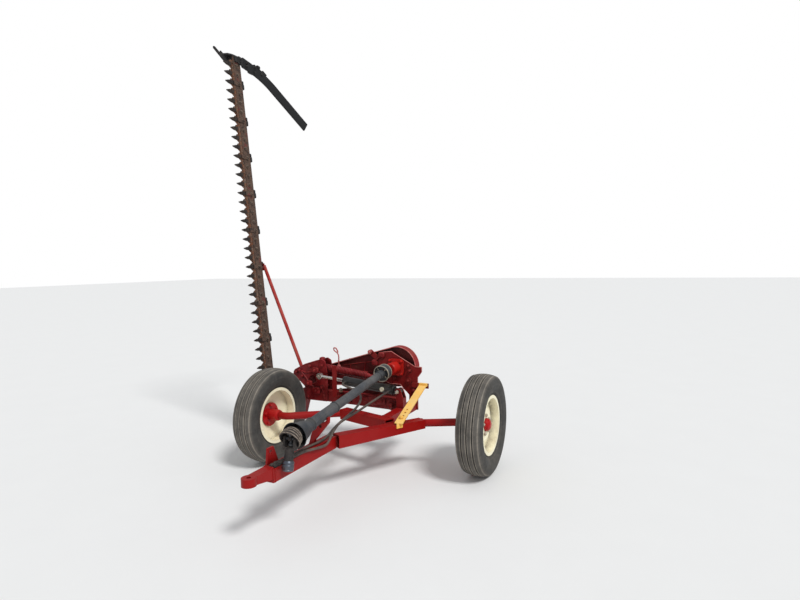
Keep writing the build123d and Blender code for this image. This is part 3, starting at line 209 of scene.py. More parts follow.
# Weld beads of the frame: half width, corners, and whether they close
WELDS = [
    (3.5, [(-56, -1130, 300), (-56, -1130, 376), (20, -1130, 376), (20, -1130, 300)]),
    (4, [(-41, -1146, 319), (-41, -1146, 386), (17, -1146, 386), (17, -1146, 319)]),
    (4, [(-56, -1120, 376.5), (-56, -1020, 376.5)]),
    (3.5, [(-44, -1120, 376.5), (-44, -1022, 376.5)]),
    (4, [(-54, -713, 376.5), (-20, -713, 376.5)]),
    (4, [(-54, -687, 376.5), (-20, -687, 376.5)]),
    (5, [(20, -511, 302), (20, -511, 376), (-19, -490, 377)]),
    (3, [(-19.5, -490, 302), (-19.5, -490, 384), (47.5, -526, 384), (47.5, -526, 302)]),
    (5, [(208, -68, 322), (208, -68, 370), (172, -134, 371), (172, -134, 322)]),
    (4.5, [(107, 177, 396), (163, 177, 396), (163, 233, 396), (107, 233, 396)], True),
    (4.5, [(100, -37, 337), (100, -37, 396), (170, -57, 396), (170, -57, 337)]),
    (4.5, [(100, 404, 340), (100, 404, 396), (170, 404, 396), (170, 404, 340)]),
    (3.5, [(140, 403, 547), (276, 403, 547)]),
    (3.5, [(-135, 404, 574), (-135, 404, 610), (-125, 404, 610)]),
]
# Middle and direction of the weld round each axle's root
AXLE_WELDS = [((346, 108, 331), (0.4744, 0.8803, 0)), ((-262, 28, 359), (-0.9617, 0.2742, 0))]

# The nodes that wear each finish
LOOKS = {
    "frame_red": "tongue hitch_clevis main_beam cross_member axle_left axle_right rear_rail",
    "housing_red": "bearing_housing",
    "mower_red": "cylinder_anchor drive_stand hinge_yoke ground_runner tilt_lever drive_head "
                 "inner_shoe rod_catch",
    "rod_red": "transport_rod",
    "lift_red": "lift_arm lift_casting float_spring",
    "shield_red": "belt_shield",
    "shaded_panel_red": "shield_panel",
    "cap_red": "hub_left hub_right",
    "rim_cream": "rim_left rim_right",
    "tyre_rubber": "tyre_left tyre_right",
    "strap_yellow": "transport_strap",
    "shaft_shield": "shaft_rear_tube shaft_front_tube",
    "cone_black": "shaft_rear_bell shaft_front_cone",
    "joint_iron": "input_fork shaft_yoke",
    "barrel_black": "cylinder_barrel",
    "rod_chrome": "cylinder_rod",
    "bar_iron": "cutter_bar knife_clips",
    "knife_steel": "knife",
    "board_black": "swath_board",
    "bracket_black": "board_bracket outer_shoe",
    "hose_rubber": "hose_base hose_rod",
}
# The finishes by name, and the fasteners' copies kept for each body and finish
FINISHES, BOLTS = {}, {}


def at(points):
    """Places in mm from midway between the wheels, as points of the model in metres."""
    return (np.asarray(points, float) + MIDWAY) / 1000


def along_bar(s, y, z):
    """Points of the cutter bar: s outwards along it, y to the guards' points, z up in work."""
    s, y, z = (np.asarray(v, float)[..., None] for v in (s, y, z))
    return at(np.array(HINGE) + (s * BAR_OUT + y * np.array(FORWARDS) + z * BAR_UP))


def unit(v):
    """Vectors scaled to length 1."""
    v = np.asarray(v, float)
    return v / np.linalg.norm(v, axis=-1, keepdims=True)


def square_to(direction, hint=UPWARDS):
    """Two unit vectors square to a direction and to each other, by cross products with a hint."""
    direction = unit(direction)
    side = np.cross(direction, np.broadcast_to(np.asarray(hint, float), direction.shape))
    weak = np.linalg.norm(side, axis=-1, keepdims=True) < 1e-3
    side = np.where(weak, np.cross(direction, np.broadcast_to([1.0, 0, 0], direction.shape)), side)
    side = unit(side)
    return side, np.cross(direction, side)


def even_turn(steps):
    """Even angles round a whole turn."""
    return np.arange(steps) * 2 * math.pi / steps


def around(side, up, angle):
    """Directions round an axis: cos(angle) side + sin(angle) up."""
    angle = np.asarray(angle)[..., None]
    return np.cos(angle) * side + np.sin(angle) * up


def ellipse(x, z, a, b, steps=16):
    """A flat outline round a place: x + a cos, z + b sin."""
    turn = even_turn(steps)
    return np.stack([x + a * np.cos(turn), z + b * np.sin(turn)], 1)


def squared(wave, power):
    """A wave raised to a power below 1, which squares it off."""
    return np.sign(wave) * np.abs(wave) ** power


# Shapes: each is a pair of an array of points, in metres, and an array of four-sided faces


def grid_faces(rows, columns, closed_rows=False, closed_columns=False):
    """The faces of a grid of points: face i, j joins points i, j to i + 1, j + 1."""
    i, j = np.meshgrid(
        np.arange(rows if closed_rows else rows - 1),
        np.arange(columns if closed_columns else columns - 1),
        indexing="ij",
    )
    i, j = i.ravel(), j.ravel()
    k, m = (i + 1) % rows, (j + 1) % columns
    return np.stack([i * columns + j, k * columns + j, k * columns + m, i * columns + m], 1)


def turned(profile, centre=(0, 0, 0), axis=UPWARDS, steps=48, closed=False):
    """A profile of places along an axis and radii, in mm, turned round it:
    centre + a axis + r (cos, sin)."""
    profile = np.asarray(profile, float) * MM
    ring = around(*square_to(axis), even_turn(steps))
    points = (
        np.asarray(centre, float)
        + profile[:, 0, None, None] * unit(axis)
        + profile[:, 1, None, None] * ring[None]
    )
    return points.reshape(-1, 3), grid_faces(len(profile), steps, closed, True)


def swept(path, size, across, over, hint=UPWARDS, closed=False):
    """A profile carried along a path: path + size (across side + over up), where an open
    path's ends are drawn to a point."""
    path = np.asarray(path, float)
    tangent = np.roll(path, -1, 0) - np.roll(path, 1, 0) if closed else np.gradient(path, axis=0)
    side, up = square_to(tangent, hint)
    size = np.broadcast_to(np.asarray(size, float), (len(path),))
    if not closed:
        path, side, up = (np.concatenate([v[:1], v, v[-1:]]) for v in (path, side, up))
        size = np.r_[0, size, 0]
    points = path[:, None] + size[:, None, None] * (
        across[None, :, None] * side[:, None] + over[None, :, None] * up[:, None]
    )
    return points.reshape(-1, 3), grid_faces(len(path), len(across), closed, True)


def carried(path, radius, sides=8, hint=UPWARDS, closed=False):
    """A round profile carried along a path: path + r (cos side + sin up)."""
    turn = even_turn(sides)
    return swept(path, radius, np.cos(turn), np.sin(turn), hint, closed)


def joined(*shapes):
    """Several shapes as one."""
    starts = np.cumsum([0] + [len(points) for points, _ in shapes[:-1]])
    return (
        np.concatenate([points for points, _ in shapes]),
        np.concatenate([faces + start for (_, faces), start in zip(shapes, starts)]),
    )


def repeated(shape, places, normals, hint=UPWARDS, turns=0.0):
    """A shape drawn about the origin and Z, set at each place with its Z along the normal there."""
    points, faces = shape
    places = np.atleast_2d(places)
    normals = unit(np.broadcast_to(normals, places.shape))
    side, up = square_to(normals, hint)
    turns = np.broadcast_to(np.asarray(turns, float), (len(places),))[:, None]
    across = np.cos(turns) * side + np.sin(turns) * up
    axes = np.stack([across, np.cross(normals, across), normals], 1)
    moved = places[:, None] + np.einsum("pk,nkc->npc", points, axes)
    numbers = faces[None] + (np.arange(len(places)) * len(points))[:, None, None]
    return moved.reshape(-1, 3), numbers.reshape(-1, 4)


def even(corners, step):
    """Points every step along straight runs between corners."""
    corners = np.asarray(corners, float)
    lengths = np.r_[0, np.cumsum(np.linalg.norm(np.diff(corners, axis=0), axis=1))]
    places = np.linspace(0, lengths[-1], max(3, int(lengths[-1] / step) + 1))
    return np.stack([np.interp(places, lengths, corners[:, k]) for k in range(3)], 1)


def walked(corners, step, closed):
    """Points every step along corners in mm, and back to the first one if they close."""
    corners = at(corners)
    if closed:
        return even(np.concatenate([corners, corners[:1]]), step)[:-1]
    return even(corners, step)


def bead(corners, radius, closed=False):
    """A round edge or rod along corners in mm, r constant: path + r (cos side + sin up)."""
    return carried(walked(corners, 0.006, closed), radius * MM, closed=closed)


def weld(corners, size, closed=False):
    """A weld bead along corners in mm: a round profile whose radius ripples every 5 mm."""
    path = walked(corners, 0.0016, closed)
    step = np.arange(len(path))
    ripple = 1 + 0.16 * np.sin(step * 2 * math.pi / 3.2)
    wander = 1 + 0.12 * np.sin(step / 7.0 + len(path))
    return carried(path, size * MM * ripple * wander, 7, closed=closed)


def upright(outline, y):
    """A flat outline of x and z as points at a distance y behind midway."""
    outline = np.asarray(outline, float)
    return np.stack([outline[:, 0], np.full(len(outline), float(y)), outline[:, 1]], 1)


def upright_beads(y, lines, closed=False):
    """A bead along each flat line, given as radius and line, at a distance y behind midway."""
    return joined(*[bead(upright(line, y), radius, closed) for radius, line in lines])


def smooth_run(points, steps=14):
    """A clamped spline of order 3 along a route: about each inner point P a span
    (1 - t)^2 M + 2 t (1 - t) P + t^2 N, between the middles M and N of the runs beside it."""
    points = np.asarray(points, float)
    middles = (points[1:] + points[:-1])[1:-1] / 2
    starts = np.concatenate([points[:1], middles])[:, None]
    ends = np.concatenate([middles, points[-1:]])[:, None]
    t = np.linspace(0, 1, steps, endpoint=False)[None, :, None]
    spans = (1 - t) ** 2 * starts + 2 * t * (1 - t) * points[1:-1, None] + t**2 * ends
    return np.concatenate([spans.reshape(-1, 3), points[-1:]])


def arc_through(a, b, c, steps):
    """Points of the circle through three points of a plane, from a over b to c."""
    a, b, c = (complex(*p) for p in (a, b, c))
    w = (c - a) / (b - a)
    centre = (b - a) * (w - abs(w) ** 2) / (2j * w.imag) + a
    sweep = np.angle((c - centre) / (a - centre))
    if sweep * np.angle((b - centre) / (a - centre)) < 0:
        sweep -= math.copysign(2 * math.pi, sweep)
    angle = np.angle(a - centre) + np.linspace(0, 1, steps) * sweep
    points = centre + abs(a - centre) * np.exp(1j * angle)
    return np.stack([points.real, points.imag], 1)


def link_outline(first, first_r, second, second_r, steps=40):
    """The outline round two circles: an arc of each, from tangent to tangent."""
    first, second = np.asarray(first, float), np.asarray(second, float)
    run = second - first
    middle = math.atan2(run[1], run[0])
    lean = math.acos((first_r - second_r) / np.linalg.norm(run))
    big = np.linspace(middle + lean, middle + 2 * math.pi - lean, steps)
    small = np.linspace(middle - lean, middle + lean, steps)
    return np.concatenate([
        first + first_r * np.stack([np.cos(big), np.sin(big)], 1),
        second + second_r * np.stack([np.cos(small), np.sin(small)], 1),
    ])


def hex_bolt(across, washer=True, stud=0.0):
    """A bolt's washer, six-sided head and stud on Z, each a profile turned in 14, 6 or 10 steps."""
    r = across / 1.732
    base = r * 0.2 if washer else 0.0
    wide, thick, top = r * 1.35, r * 0.22, base + r * 1.15
    tip, s = base + r * 1.1 + stud, r * 0.56
    profiles = [
        (washer, 14, [(0, 0), (0, wide), (thick, wide), (thick, 0)]),
        (True, 6, [(base, 0), (base, r), (base + r * 0.95, r), (top, r * 0.84), (top, 0)]),
        (stud, 10, [(base, 0), (base, s), (tip - s * 0.3, s), (tip, s * 0.7), (tip, 0)]),
    ]
    return joined(*[turned(profile, steps=steps) for made, steps, profile in profiles if made])


def rivet(radius):
    """A round rivet head on Z: a quarter ellipse turned in 10 steps."""
    t = np.linspace(0, math.pi / 2, 4)
    dome = np.stack([np.sin(t) * radius * 0.55, np.cos(t) * radius], 1)
    return turned(np.concatenate([[(-0.5, 0), (-0.5, radius)], dome]), steps=10)


def lump(a, b, c, square=0.4, steps=20):
    """A cast block about the origin, half sizes in mm: x, y, z = a C(v) C(u), b C(v) S(u), c S(v),
    where C and S are the squared-off cosine and sine."""
    u = even_turn(steps)
    v = np.linspace(-math.pi / 2, math.pi / 2, steps // 2 + 1)
    level, rise = squared(np.cos(v), square)[:, None], squared(np.sin(v), square)[:, None]
    level[[0, -1]] = 0
    points = np.stack([
        a * level * squared(np.cos(u), square), b * level * squared(np.sin(u), square),
        c * rise * np.ones(steps),
    ], 2)
    return points.reshape(-1, 3) * MM, grid_faces(len(v), steps, False, True)


def lumps(size, square, places, facing=FORWARDS, steps=20, hint=UPWARDS):
    """Cast blocks at places in mm, with their Z facing one way."""
    return repeated(lump(*size, square, steps), at(places), facing, hint=hint)


def put(name, shape, finish, body, sharp=35.0, attribute=None):
    """Makes a shape a mesh object, its doubles merged and its faces turned outwards."""
    points, faces = shape
    mesh = bpy.data.meshes.new(name)
    mesh.vertices.add(len(points))
    mesh.vertices.foreach_set("co", np.ascontiguousarray(points, np.float32).ravel())
    mesh.loops.add(faces.size)
    mesh.loops.foreach_set("vertex_index", faces.astype(np.int32).ravel())
    mesh.polygons.add(len(faces))
    mesh.polygons.foreach_set("loop_start", np.arange(0, faces.size, 4, dtype=np.int32))
    if attribute is not None:
        layer = mesh.attributes.new("worn", "FLOAT", "POINT")
        layer.data.foreach_set("value", attribute.astype(np.float32))
    mesh.update(calc_edges=True)
    merged = bmesh.new()
    merged.from_mesh(mesh)
    bmesh.ops.remove_doubles(merged, verts=merged.verts, dist=2e-6)
    bmesh.ops.dissolve_degenerate(merged, dist=1e-6, edges=merged.edges)
    bmesh.ops.recalc_face_normals(merged, faces=merged.faces)
    merged.to_mesh(mesh)
    merged.free()
    mesh.polygons.foreach_set("use_smooth", np.ones(len(mesh.polygons), bool))
    mesh.set_sharp_from_angle(angle=math.radians(sharp))
    mesh.materials.append(FINISHES[finish])
    made = bpy.data.objects.new(name, mesh)
    bpy.context.scene.collection.objects.link(made)
    if body:
        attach(made, body)
    return made


def bolt(body, finish, facing, across, washer, stud, places):
    """Keeps copies of a six-sided fastener at places in mm for one body, until all are made."""
    copies = repeated(hex_bolt(across, washer, stud), at(places), facing)
    BOLTS.setdefault((body, finish), []).append(copies)


# Materials


def colour(value):
    """A written colour, red, green and blue from 0 to 255, as Blender's linear one."""
    c = np.asarray(value, float) / 255
    linear = np.where(c <= 0.04045, c / 12.92, ((c + 0.055) / 1.055) ** 2.4)
    return (*linear.tolist(), 1.0)


class Graph:
    """A node tree, with short ways to add the nodes that it needs most."""

    def __init__(self, tree):
        self.tree = tree

    @cached_property
    def places(self):
        """The outputs of the tree's one node of coordinates."""
        return self.add("ShaderNodeTexCoord").outputs

    def give(self, socket, value):
        """Gives a socket a plain value or another node's output."""
        if isinstance(value, bpy.types.NodeSocket):
            self.tree.links.new(value, socket)
        else:
            socket.default_value = value

    def add(self, kind, inputs=None, **settings):
        """Adds a node, with its settings and with inputs that are values or nodes' outputs."""
        made = self.tree.nodes.new(kind)
        for key, value in settings.items():
            setattr(made, key, value)
        for key, value in (inputs or {}).items():
            self.give(made.inputs[key], value)
        return made

    def use(self, name, inputs):
        """Places a node group."""
        return self.add("ShaderNodeGroup", inputs, node_tree=bpy.data.node_groups[name]).outputs

    def mix(self, share, first, second):
        """One colour over another, by a share from 0 to 1."""
        inputs = {0: share, 6: first, 7: second}
        return self.add("ShaderNodeMix", inputs, data_type="RGBA").outputs[2]

    def sum(self, how, first, second=0.0, clamp=False):
        """The sum, product or another function of two values, by its node's word for it."""
        inputs = {0: first, 1: second}
        return self.add("ShaderNodeMath", inputs, operation=how, use_clamp=clamp).outputs[0]

    def plus(self, first, second, clamp=False):
        """Two values added."""
        return self.sum("ADD", first, second, clamp)

    def times(self, first, second, clamp=False):
        """Two values multiplied."""
        return self.sum("MULTIPLY", first, second, clamp)

    def dot(self, first, second):
        """The dot product of two vectors."""
        inputs = {0: first, 1: second}
        return self.add("ShaderNodeVectorMath", inputs, operation="DOT_PRODUCT").outputs["Value"]

    def part(self, place, letter):
        """One part of a coordinate."""
        return self.add("ShaderNodeSeparateXYZ", {0: self.places[place]}).outputs[letter]

    def between(self, value, low, high, start=0.0, end=1.0):
        """A value's smooth place between two limits, clamped, then scaled to start and end."""
        inputs = {"Value": value, "From Min": low, "From Max": high, "To Min": start, "To Max": end}
        return self.add("ShaderNodeMapRange", inputs, interpolation_type="SMOOTHSTEP").outputs[0]

    def noise(self, scale, detail=4.0, roughness=0.55, distortion=0.0, place=None):
        """Fractal noise about 0.5, at the object's own places if no others are given."""
        return self.add("ShaderNodeTexNoise", {
            "Vector": self.places["Object"] if place is None else place, "Scale": scale,
            "Detail": detail, "Roughness": roughness, "Distortion": distortion,
        }).outputs["Fac"]

    def stretched(self, **settings):
        """The object's own places, turned and stretched."""
        inputs = {"Vector": self.places["Object"], **settings}
        return self.add("ShaderNodeMapping", inputs).outputs[0]


class Finish(Graph):
    """A new material's node tree, about its Principled shader."""

    def __init__(self, name):
        self.material = bpy.data.materials.new(name)
        self.material.use_nodes = True
        super().__init__(self.material.node_tree)

    def dusted(self, body, tint, amount, scale, **more):
        """A colour under field dust, and the dust's mask."""
        film = self.use("Field dust", {"Amount": amount, "Scale": scale, **more})["Mask"]
        return self.mix(film, body, colour(tint)), film

    def shaded(self, inputs):
        """The material, with its shader's inputs given."""
        for key, value in inputs.items():
            self.give(self.tree.nodes["Principled BSDF"].inputs[key], value)
        return self.material

    def bumped(self, height, strength, distance):
        """A normal raised by a height, over edges that look a little rounded."""
        soft = self.add("ShaderNodeBevel", {"Radius": 0.0015}, samples=4).outputs[0]
        inputs = {"Height": height, "Strength": strength, "Distance": distance, "Normal": soft}
        return self.add("ShaderNodeBump", inputs).outputs[0]


def group(name, inputs, outputs):
    """A new shader node group with its inputs, as name and default, and its outputs."""
    tree = bpy.data.node_groups.new(name, "ShaderNodeTree")
    for label, value in inputs.items():
        kind = "NodeSocketColor" if isinstance(value, tuple) else "NodeSocketFloat"
        socket = tree.interface.new_socket(name=label, in_out="INPUT", socket_type=kind)
        socket.default_value = value
    for label in outputs:
        kind = "NodeSocketColor" if label == "Colour" else "NodeSocketFloat"
        tree.interface.new_socket(name=label, in_out="OUTPUT", socket_type=kind)
    given = tree.nodes.new("NodeGroupInput").outputs
    result = tree.nodes.new("NodeGroupOutput").inputs
    return Graph(tree), given, result


def build_groups():
    """Field dust and mud, worn edges, painted shade with grease in crevices, rust, and paint that
    the sun has faded.
    """
    g, given, result = group(
        "Field dust", {"Amount": 0.5, "Scale": 6.0, "Mud height": 0.25}, ["Mask"])
    wide, fine = g.noise(given["Scale"], 6, 0.62), g.noise(160, 3, 0.7)
    lies = g.between(g.part("Normal", "Z"), -0.2, 1.0, 0.35, 1.0)
    mud = g.between(g.part("Object", "Z"), given["Mud height"], 0.0, 0.0, 0.45)
    patch = g.between(g.plus(wide, g.times(fine, 0.25)), 0.48, 0.82)
    total = g.times(g.plus(patch, mud), lies)
    g.give(result["Mask"], g.times(total, given["Amount"], True))

    g, given, result = group(
        "Edge wear", {"Radius": 0.0025, "Amount": 0.6, "Scale": 26.0}, ["Mask"])
    rounded = g.add("ShaderNodeBevel", {"Radius": given["Radius"]}, samples=4).outputs[0]
    edge = g.between(g.dot(rounded, g.add("ShaderNodeNewGeometry").outputs["Normal"]), 0.995, 0.86)
    broken = g.between(g.noise(given["Scale"], 5, 0.65), 0.42, 0.62)
    g.give(result["Mask"], g.times(g.times(edge, broken), given["Amount"], True))

    # Painted shade with grease: where ambient occlusion finds parts close round a surface, the mask
    # darkens it
    g, given, result = group("Crevice shade and grease", {"Amount": 0.7, "Reach": 0.05}, ["Mask"])
    sky = g.add("ShaderNodeAmbientOcclusion", {"Distance": given["Reach"]}, samples=6).outputs["AO"]
    closed = g.between(sky, 0.85, 0.25)
    ragged = g.between(g.noise(34, 5, 0.6), 0.25, 0.7, 0.5, 1.0)
    g.give(result["Mask"], g.times(g.times(closed, ragged), given["Amount"], True))

    tints = {"Dark": (52, 32, 24), "Middle": (104, 62, 40), "Bright": (146, 92, 56)}
    tints = {label: colour(tint) for label, tint in tints.items()}
    g, given, result = group("Rust", {"Scale": 22.0, **tints}, ["Colour", "Height"])
    wide = g.noise(given["Scale"], 8, 0.68, 0.4)
    fine = g.noise(g.times(given["Scale"], 9.0), 4, 0.7)
    low = g.mix(g.between(wide, 0.36, 0.56), given["Dark"], given["Middle"])
    g.give(result["Colour"], g.mix(g.between(fine, 0.54, 0.74), low, given["Bright"]))
    g.give(result["Height"], g.plus(wide, g.times(fine, 0.6)))

    g, given, result = group("Sun fade", {
        "New": (1.0, 0, 0, 1), "Faded": (0.5, 0.2, 0.2, 1), "Amount": 0.5, "Scale": 5.0,
    }, ["Colour", "Height"])
    cloud = g.between(g.noise(given["Scale"], 6, 0.6, 0.3), 0.35, 0.7)
    chalk = g.plus(cloud, g.between(g.part("Normal", "Z"), 0.2, 1.0, 0, 0.45))
    share = g.times(chalk, given["Amount"], True)
    g.give(result["Colour"], g.mix(share, given["New"], given["Faded"]))
    g.give(result["Height"], g.noise(420, 2, 0.5))


def paint(name, new, faded, fade=0.5, dust=0.35, wear=0.5, shade_and_grease=0.5, gloss=0.32, scale=5.0,
          rust_patches=0.0, dust_colour=(128, 92, 76), under=(58, 34, 28)):
    """Old enamel: it fades and chalks where the sun lies, chips at its edges, holds dust and is
    darkened in its crevices by painted shade with grease.
    """
    m = Finish(name)
    fades = m.use("Sun fade", {
        "New": colour(new), "Faded": colour(faded), "Amount": fade, "Scale": scale})
    rust = m.use("Rust", {"Dark": colour(under), "Scale": 30.0})
    chips = m.use("Edge wear", {"Amount": wear, "Radius": 0.0022})["Mask"]
    spots = m.between(
        m.noise(46, 6, 0.72), 0.70 - 0.12 * rust_patches, 0.76 - 0.08 * rust_patches)
    bare = m.sum("MAXIMUM", chips, spots)
    scuffs = m.between(m.noise(120, 5, 0.75), 0.60, 0.72, 0.0, 0.4)
    body = m.mix(scuffs, fades["Colour"], colour(faded))
    body = m.mix(bare, body, rust["Colour"])
    # Painted shade with grease: crevices darkened towards (26, 10, 10)
    shade_and_grease_mask = m.use("Crevice shade and grease", {"Amount": shade_and_grease, "Reach": 0.07})["Mask"]
    body = m.mix(shade_and_grease_mask, body, colour((26, 10, 10)))
    body, film = m.dusted(body, dust_colour, dust, 7.0)
    matt = m.plus(gloss, m.times(m.noise(18, 5), 0.22))
    matt = m.plus(matt, m.times(m.plus(film, bare), 0.45), True)
    height = m.sum("SUBTRACT", m.times(fades["Height"], 0.25), bare)
    height = m.plus(height, m.times(m.noise(60, 4), 0.6))
    return m.shaded({
        "Base Color": body, "Roughness": matt, "Specular IOR Level": 0.2,
        "Normal": m.bumped(height, 0.35, 0.0012),
    })


def rusty_steel(name, dark, middle, bright, shine, dust, scale, paint_left=None, points_from=None):
    """Bare iron gone brown, polished where it is rubbed, with what is left of its paint. Past
    points_from, in mm to the guards' points, it is nearly black."""
    m = Finish(name)
    rust = m.use("Rust", {
        "Scale": scale, "Dark": colour(dark), "Middle": colour(middle), "Bright": colour(bright)})
    body = rust["Colour"]
    if paint_left:
        body = m.mix(m.between(m.noise(9, 6, 0.65), 0.56, 0.64), body, colour(paint_left))
    if points_from is not None:
        edge = (HINGE[1] - points_from + MIDWAY[1]) / 1000
        tips = m.between(m.part("Object", "Y"), edge + 0.012, edge - 0.012, 0.0, 0.88)
        body = m.mix(tips, body, colour((20, 17, 17)))
    worn = m.use("Edge wear", {"Amount": shine, "Radius": 0.0016, "Scale": 40.0})["Mask"]
    body = m.mix(worn, body, colour((150, 142, 132)))
    body, _ = m.dusted(body, (140, 122, 98), dust, 9.0)
    return m.shaded({
        "Base Color": body, "Metallic": m.times(worn, 0.8),
        "Roughness": m.sum("SUBTRACT", 0.82, m.times(worn, 0.4)),
        "Normal": m.bumped(rust["Height"], 0.5, 0.0014),
    })


def bright_steel(name, base, rough, rust_share):
    """Machined or plated steel with fine scratches and rust starting in spots."""
    m = Finish(name)
    spots = m.between(m.noise(28, 7, 0.7), 0.66 - 0.25 * rust_share, 0.78 - 0.2 * rust_share)
    body = m.mix(spots, colour(base), m.use("Rust", {"Scale": 34.0})["Colour"])
    body, film = m.dusted(body, (150, 134, 110), 0.3, 9.0)
    scratch = m.noise(1, 2, place=m.stretched(Scale=(900, 60, 900)))
    matt = m.plus(rough, m.times(scratch, 0.16))
    return m.shaded({
        "Base Color": body, "Metallic": m.sum("SUBTRACT", 0.95, m.plus(spots, film), True),
        "Roughness": m.plus(matt, m.times(spots, 0.5), True),
        "Normal": m.bumped(m.plus(scratch, spots), 0.15, 0.0006),
    })


def moulded(name, base, pale, dust, rough=0.55, ridge_step=None):
    """Moulded black plastic or rubber that greys in the sun. With a step in metres it has
    ridges across the drive shaft: the sine of the way along it."""
    m = Finish(name)
    cloud = m.between(m.noise(10, 6, 0.65, 0.5), 0.35, 0.72)
    body = m.mix(cloud, colour(base), colour(pale))
    scuffs = m.between(m.noise(75, 5, 0.75), 0.6, 0.72)
    body = m.mix(m.times(scuffs, 0.35), body, colour((136, 128, 118)))
    body, film = m.dusted(body, (142, 130, 112), dust, 8.0)
    height = m.noise(150, 4, 0.6)
    if ridge_step:
        run = m.dot(m.places["Object"], tuple(SHAFT_RUN))
        crest = m.between(m.sum("SINE", m.times(run, 2 * math.pi / ridge_step)), 0.3, 1.0)
        body = m.mix(m.times(crest, 0.3), body, colour((128, 124, 120)))
        height = m.plus(m.times(height, 0.4), crest)
    return m.shaded({
        "Base Color": body, "Roughness": m.plus(rough, m.times(film, 0.35), True),
        "Normal": m.bumped(height, 0.4, 0.0012),
    })


def tyre_rubber(name):
    """Old tyre rubber: dusty tread, grey on the ribs' edges, with fine cracks in the walls."""
    m = Finish(name)
    worn = m.add("ShaderNodeAttribute", attribute_name="worn").outputs["Fac"]
    cloud, fine = m.noise(11, 7, 0.66, 0.3), m.noise(120, 5, 0.7)
    body = m.mix(m.between(cloud, 0.35, 0.7), colour((25, 28, 30)), colour((43, 45, 46)))
    speckle = m.between(m.plus(cloud, m.times(fine, 0.5)), 0.5, 0.95, 0.4, 1.0)
    body = m.mix(m.times(worn, speckle, True), body, colour((158, 149, 137)))
    body, _ = m.dusted(body, (122, 112, 98), 0.22, 8.0, **{"Mud height": 0.3})
    cracks = m.add("ShaderNodeTexVoronoi", {"Vector": m.places["Object"], "Scale": 130.0},
                   feature="DISTANCE_TO_EDGE").outputs["Distance"]
    height = m.plus(m.times(m.between(cracks, 0.0, 0.06), 0.5), fine)
    return m.shaded({
        "Base Color": body, "Roughness": 0.78, "Normal": m.bumped(height, 0.45, 0.001)})


def weathered_board(name):
    """A dark belting board, nearly black, scuffed along its length."""
    m = Finish(name)
    grain = m.noise(1, 5, 0.6, place=m.stretched(Rotation=(0.6, 0, 0.15), Scale=(60, 6, 60)))
    body = m.mix(m.between(grain, 0.35, 0.7), colour((7, 7, 9)), colour((19, 20, 23)))
    scuffs = m.between(m.noise(40, 6, 0.75), 0.62, 0.78)
    body = m.mix(m.times(scuffs, 0.2), body, colour((60, 58, 57)))
    return m.shaded({
        "Base Color": body, "Roughness": 0.8, "Normal": m.bumped(grain, 0.4, 0.0012)})


